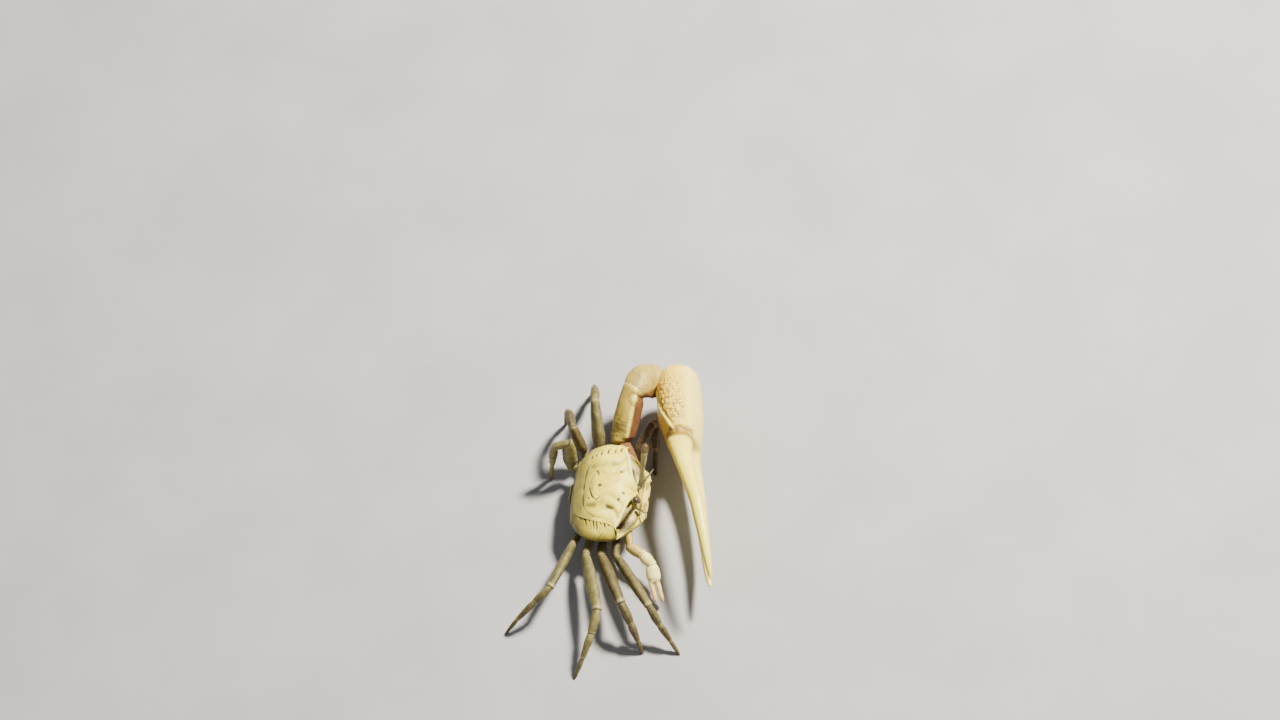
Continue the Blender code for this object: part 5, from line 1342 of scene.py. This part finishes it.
def bristles(name, patches, golden, seed):
    """One joined mesh of thin bent cones, rooted in the pieces that carry them."""
    rng = np.random.default_rng(seed)
    points, places = [], []
    for strip, grown in enumerate(patches):
        root, towards, along, long, unwrapped = grow(*grown, rng)
        flat = unit(np.cross(towards, along))
        other = np.cross(towards, flat)
        unwrapped = np.stack([(strip + 0.03 + 0.94 * unwrapped[:, 0]) / len(patches),
                              0.01 + 0.98 * unwrapped[:, 1]], axis=-1)
        rings, patch = [], []
        for step in HAIR_SHARES + (1.0,):
            centre = root + (towards * step + 0.35 * along * step ** 2) * long[:, None]
            for turn in np.arange(HAIR_SIDES if step < 1.0 else 1) * 2.0 * math.pi / HAIR_SIDES:
                across = flat * math.cos(turn) + other * math.sin(turn)
                rings.append(centre + across * HAIR_HALF * (1.0 - step) ** 0.6)
                patch.append(unwrapped + PATCH * (1.0 - step) * np.array([math.cos(turn), math.sin(turn)]))
        points.append(np.stack(rings, axis=1))
        places.append(np.stack(patch, axis=1))
    points, places = np.concatenate(points), np.concatenate(places).reshape(-1, 2)
    points[..., 2] = np.maximum(points[..., 2], ABOVE_FLOOR)
    each = points.shape[1]
    first = np.arange(len(points))[:, None, None] * each
    turns = np.arange(each - 1).reshape(-1, HAIR_SIDES)
    sides = quads(turns, np.roll(turns, -1, axis=1))
    ends = [[each - 1 - HAIR_SIDES + turn, each - 1 - HAIR_SIDES + (turn + 1) % HAIR_SIDES, each - 1]
            for turn in range(HAIR_SIDES)]
    faces, tips = (first + sides).reshape(-1, 4), (first + np.array(ends)).reshape(-1, 3)
    piece = skin(name, points.reshape(-1, 3), faces, tips, "setae", (), bristle_paint, golden=golden)
    corner = np.empty(len(piece.data.loops), np.int32)
    piece.data.loops.foreach_get("vertex_index", corner)
    sheet = piece.data.uv_layers.new(name="OFBake")
    sheet.data.foreach_set("uv", places[corner].reshape(-1).astype(np.float32))


paint = Paint("bristle_paint", Specular_IOR_Level=0.35)
colour = paint.over(paint.noise(1.2, 3.0).rise(0.35, 0.65).mix((0.035, 0.022, 0.010), (0.10, 0.068, 0.030)),
                    (paint.shade("golden"), (0.34, 0.24, 0.09)))
bristle_paint = paint.finish(colour, 0.5 + 0.1 * paint.noise(1.0), paint.noise(0.3), 0.01)

# Rows of (place round the segment in degrees, spread, number, length) for each fringe.
LEG_FRINGES = {"merus": ((90.0, 14.0, 60, 0.7), (270.0, 22.0, 40, 0.45)),
               "carpus": ((270.0, 24.0, 60, 0.6), (90.0, 20.0, 24, 0.5)),
               "propodus": ((270.0, 20.0, 90, 0.75), (90.0, 16.0, 80, 0.7)),
               "toe": ((270.0, 18.0, 60, 0.5), (90.0, 18.0, 60, 0.5))}
LEG_LEAN, FELT_LEAN, HIP_LEAN, FINE_LEAN = 0.7, 0.3, 0.6, 0.9
for side in ("left", "right"):
    patches = []
    for leg, kind, made in leg_tubes:
        for at, spread, number, length in LEG_FRINGES.get(kind, ()) if side in leg else ():
            weight = band(np.degrees(made["angle"]), at, spread) * within(made["share"], 0.05, 0.3, 0.9, 0.99)
            patches.append((made, weight, number, length, LEG_LEAN))
    bristles("bristles_legs_" + side, patches, 0.35, 301)
patches = [(trunk_wall, trunk_wall["hips"] * (trunk_wall["points"][:, 0] * sign > CENTRE[0] * sign),
            900, 1.0, FELT_LEAN) for sign, _ in SIDES]
patches += [(made, within(made["share"], -0.1, 0.1, 0.7, 1.0), 150, 0.9, HIP_LEAN)
            for _, kind, made in leg_tubes if kind == "hip"]
bristles("bristles_hips", patches, 0.0, 302)
bristles("bristles_mouth", [(flap, flap["fringe"], 170, 0.55, FINE_LEAN) for flap in mouth_flaps], 0.8, 303)
patches = []
for at, number in ((270.0, 60), (90.0, 40)):
    for kind, start, full in (("palm", 0.6, 0.9), ("dactyl", 0.3, 0.8)):
        made = small_tubes[kind]
        weight = band(np.degrees(made["angle"]), at, 50.0) * within(made["share"], start, full, 0.98, 1.02)
        patches.append((made, weight, number, 0.45, FINE_LEAN))
bristles("bristles_small_claw", patches, 0.9, 304)

# ---- floor, light and view -----------------------------------------------------------
# A plain pale floor of matt board under the crab. A small warm lamp high on its left and in
# front stands for the sun, and a wide cool one and the pale surroundings soften the shade.
bpy.ops.mesh.primitive_plane_add(size=4.0, location=(0.0, 0.0, 0.0))
floor = bpy.context.object
floor.name = "floor"
paint = Paint("floor_paint")
colour = paint.noise(40.0).rise(0.3, 0.7).mix((0.34, 0.34, 0.36), (0.38, 0.38, 0.40))
floor.data.materials.append(paint.finish(colour, 0.8 + 0.1 * paint.noise(3.0), paint.noise(0.6), 0.02))

LIT_PLACE = Vector((0.0, 0.0, 0.01))


def lamp(name, spot, size, power, colour):
    """A square soft light at spot, in metres, turned to the crab."""
    data = bpy.data.lights.new(name, "AREA")
    data.size, data.energy, data.color = size, power, colour
    light = bpy.data.objects.new(name, data)
    light.location = spot
    light.rotation_euler = (LIT_PLACE - Vector(spot)).to_track_quat("-Z", "Y").to_euler()
    bpy.context.scene.collection.objects.link(light)


lamp("key", (0.30, -0.30, 0.72), 0.11, 29.0, (1.0, 0.93, 0.78))
lamp("fill", (-0.55, 0.25, 0.55), 0.7, 1.0, (0.96, 0.98, 1.0))
world = bpy.data.worlds.new("studio")
world.use_nodes = True
background = world.node_tree.nodes["Background"]
background.inputs["Color"].default_value = (0.92, 0.95, 1.0, 1.0)
background.inputs["Strength"].default_value = 0.19
bpy.context.scene.world = world

# The camera's place in metres from the body's centre, its turn from +X, and how far it looks down.
VIEW_PLACE = (-0.6982, -0.0922, 1.3449)
VIEW_TURN, VIEW_DIP = math.radians(7.0), math.radians(60.5)
lens = bpy.data.cameras.new("view")
lens.lens, lens.sensor_width = 135.0, 36.0
lens.clip_start, lens.clip_end = 0.05, 20.0
camera = bpy.data.objects.new("view", lens)
camera.location = (CENTRE[0] / 1000.0 + VIEW_PLACE[0], CENTRE[1] / 1000.0 + VIEW_PLACE[1], VIEW_PLACE[2])
aim = Vector((math.cos(VIEW_TURN) * math.cos(VIEW_DIP), math.sin(VIEW_TURN) * math.cos(VIEW_DIP),
              -math.sin(VIEW_DIP)))
camera.rotation_euler = aim.to_track_quat("-Z", "Y").to_euler()
bpy.context.scene.collection.objects.link(camera)
bpy.context.scene.camera = camera
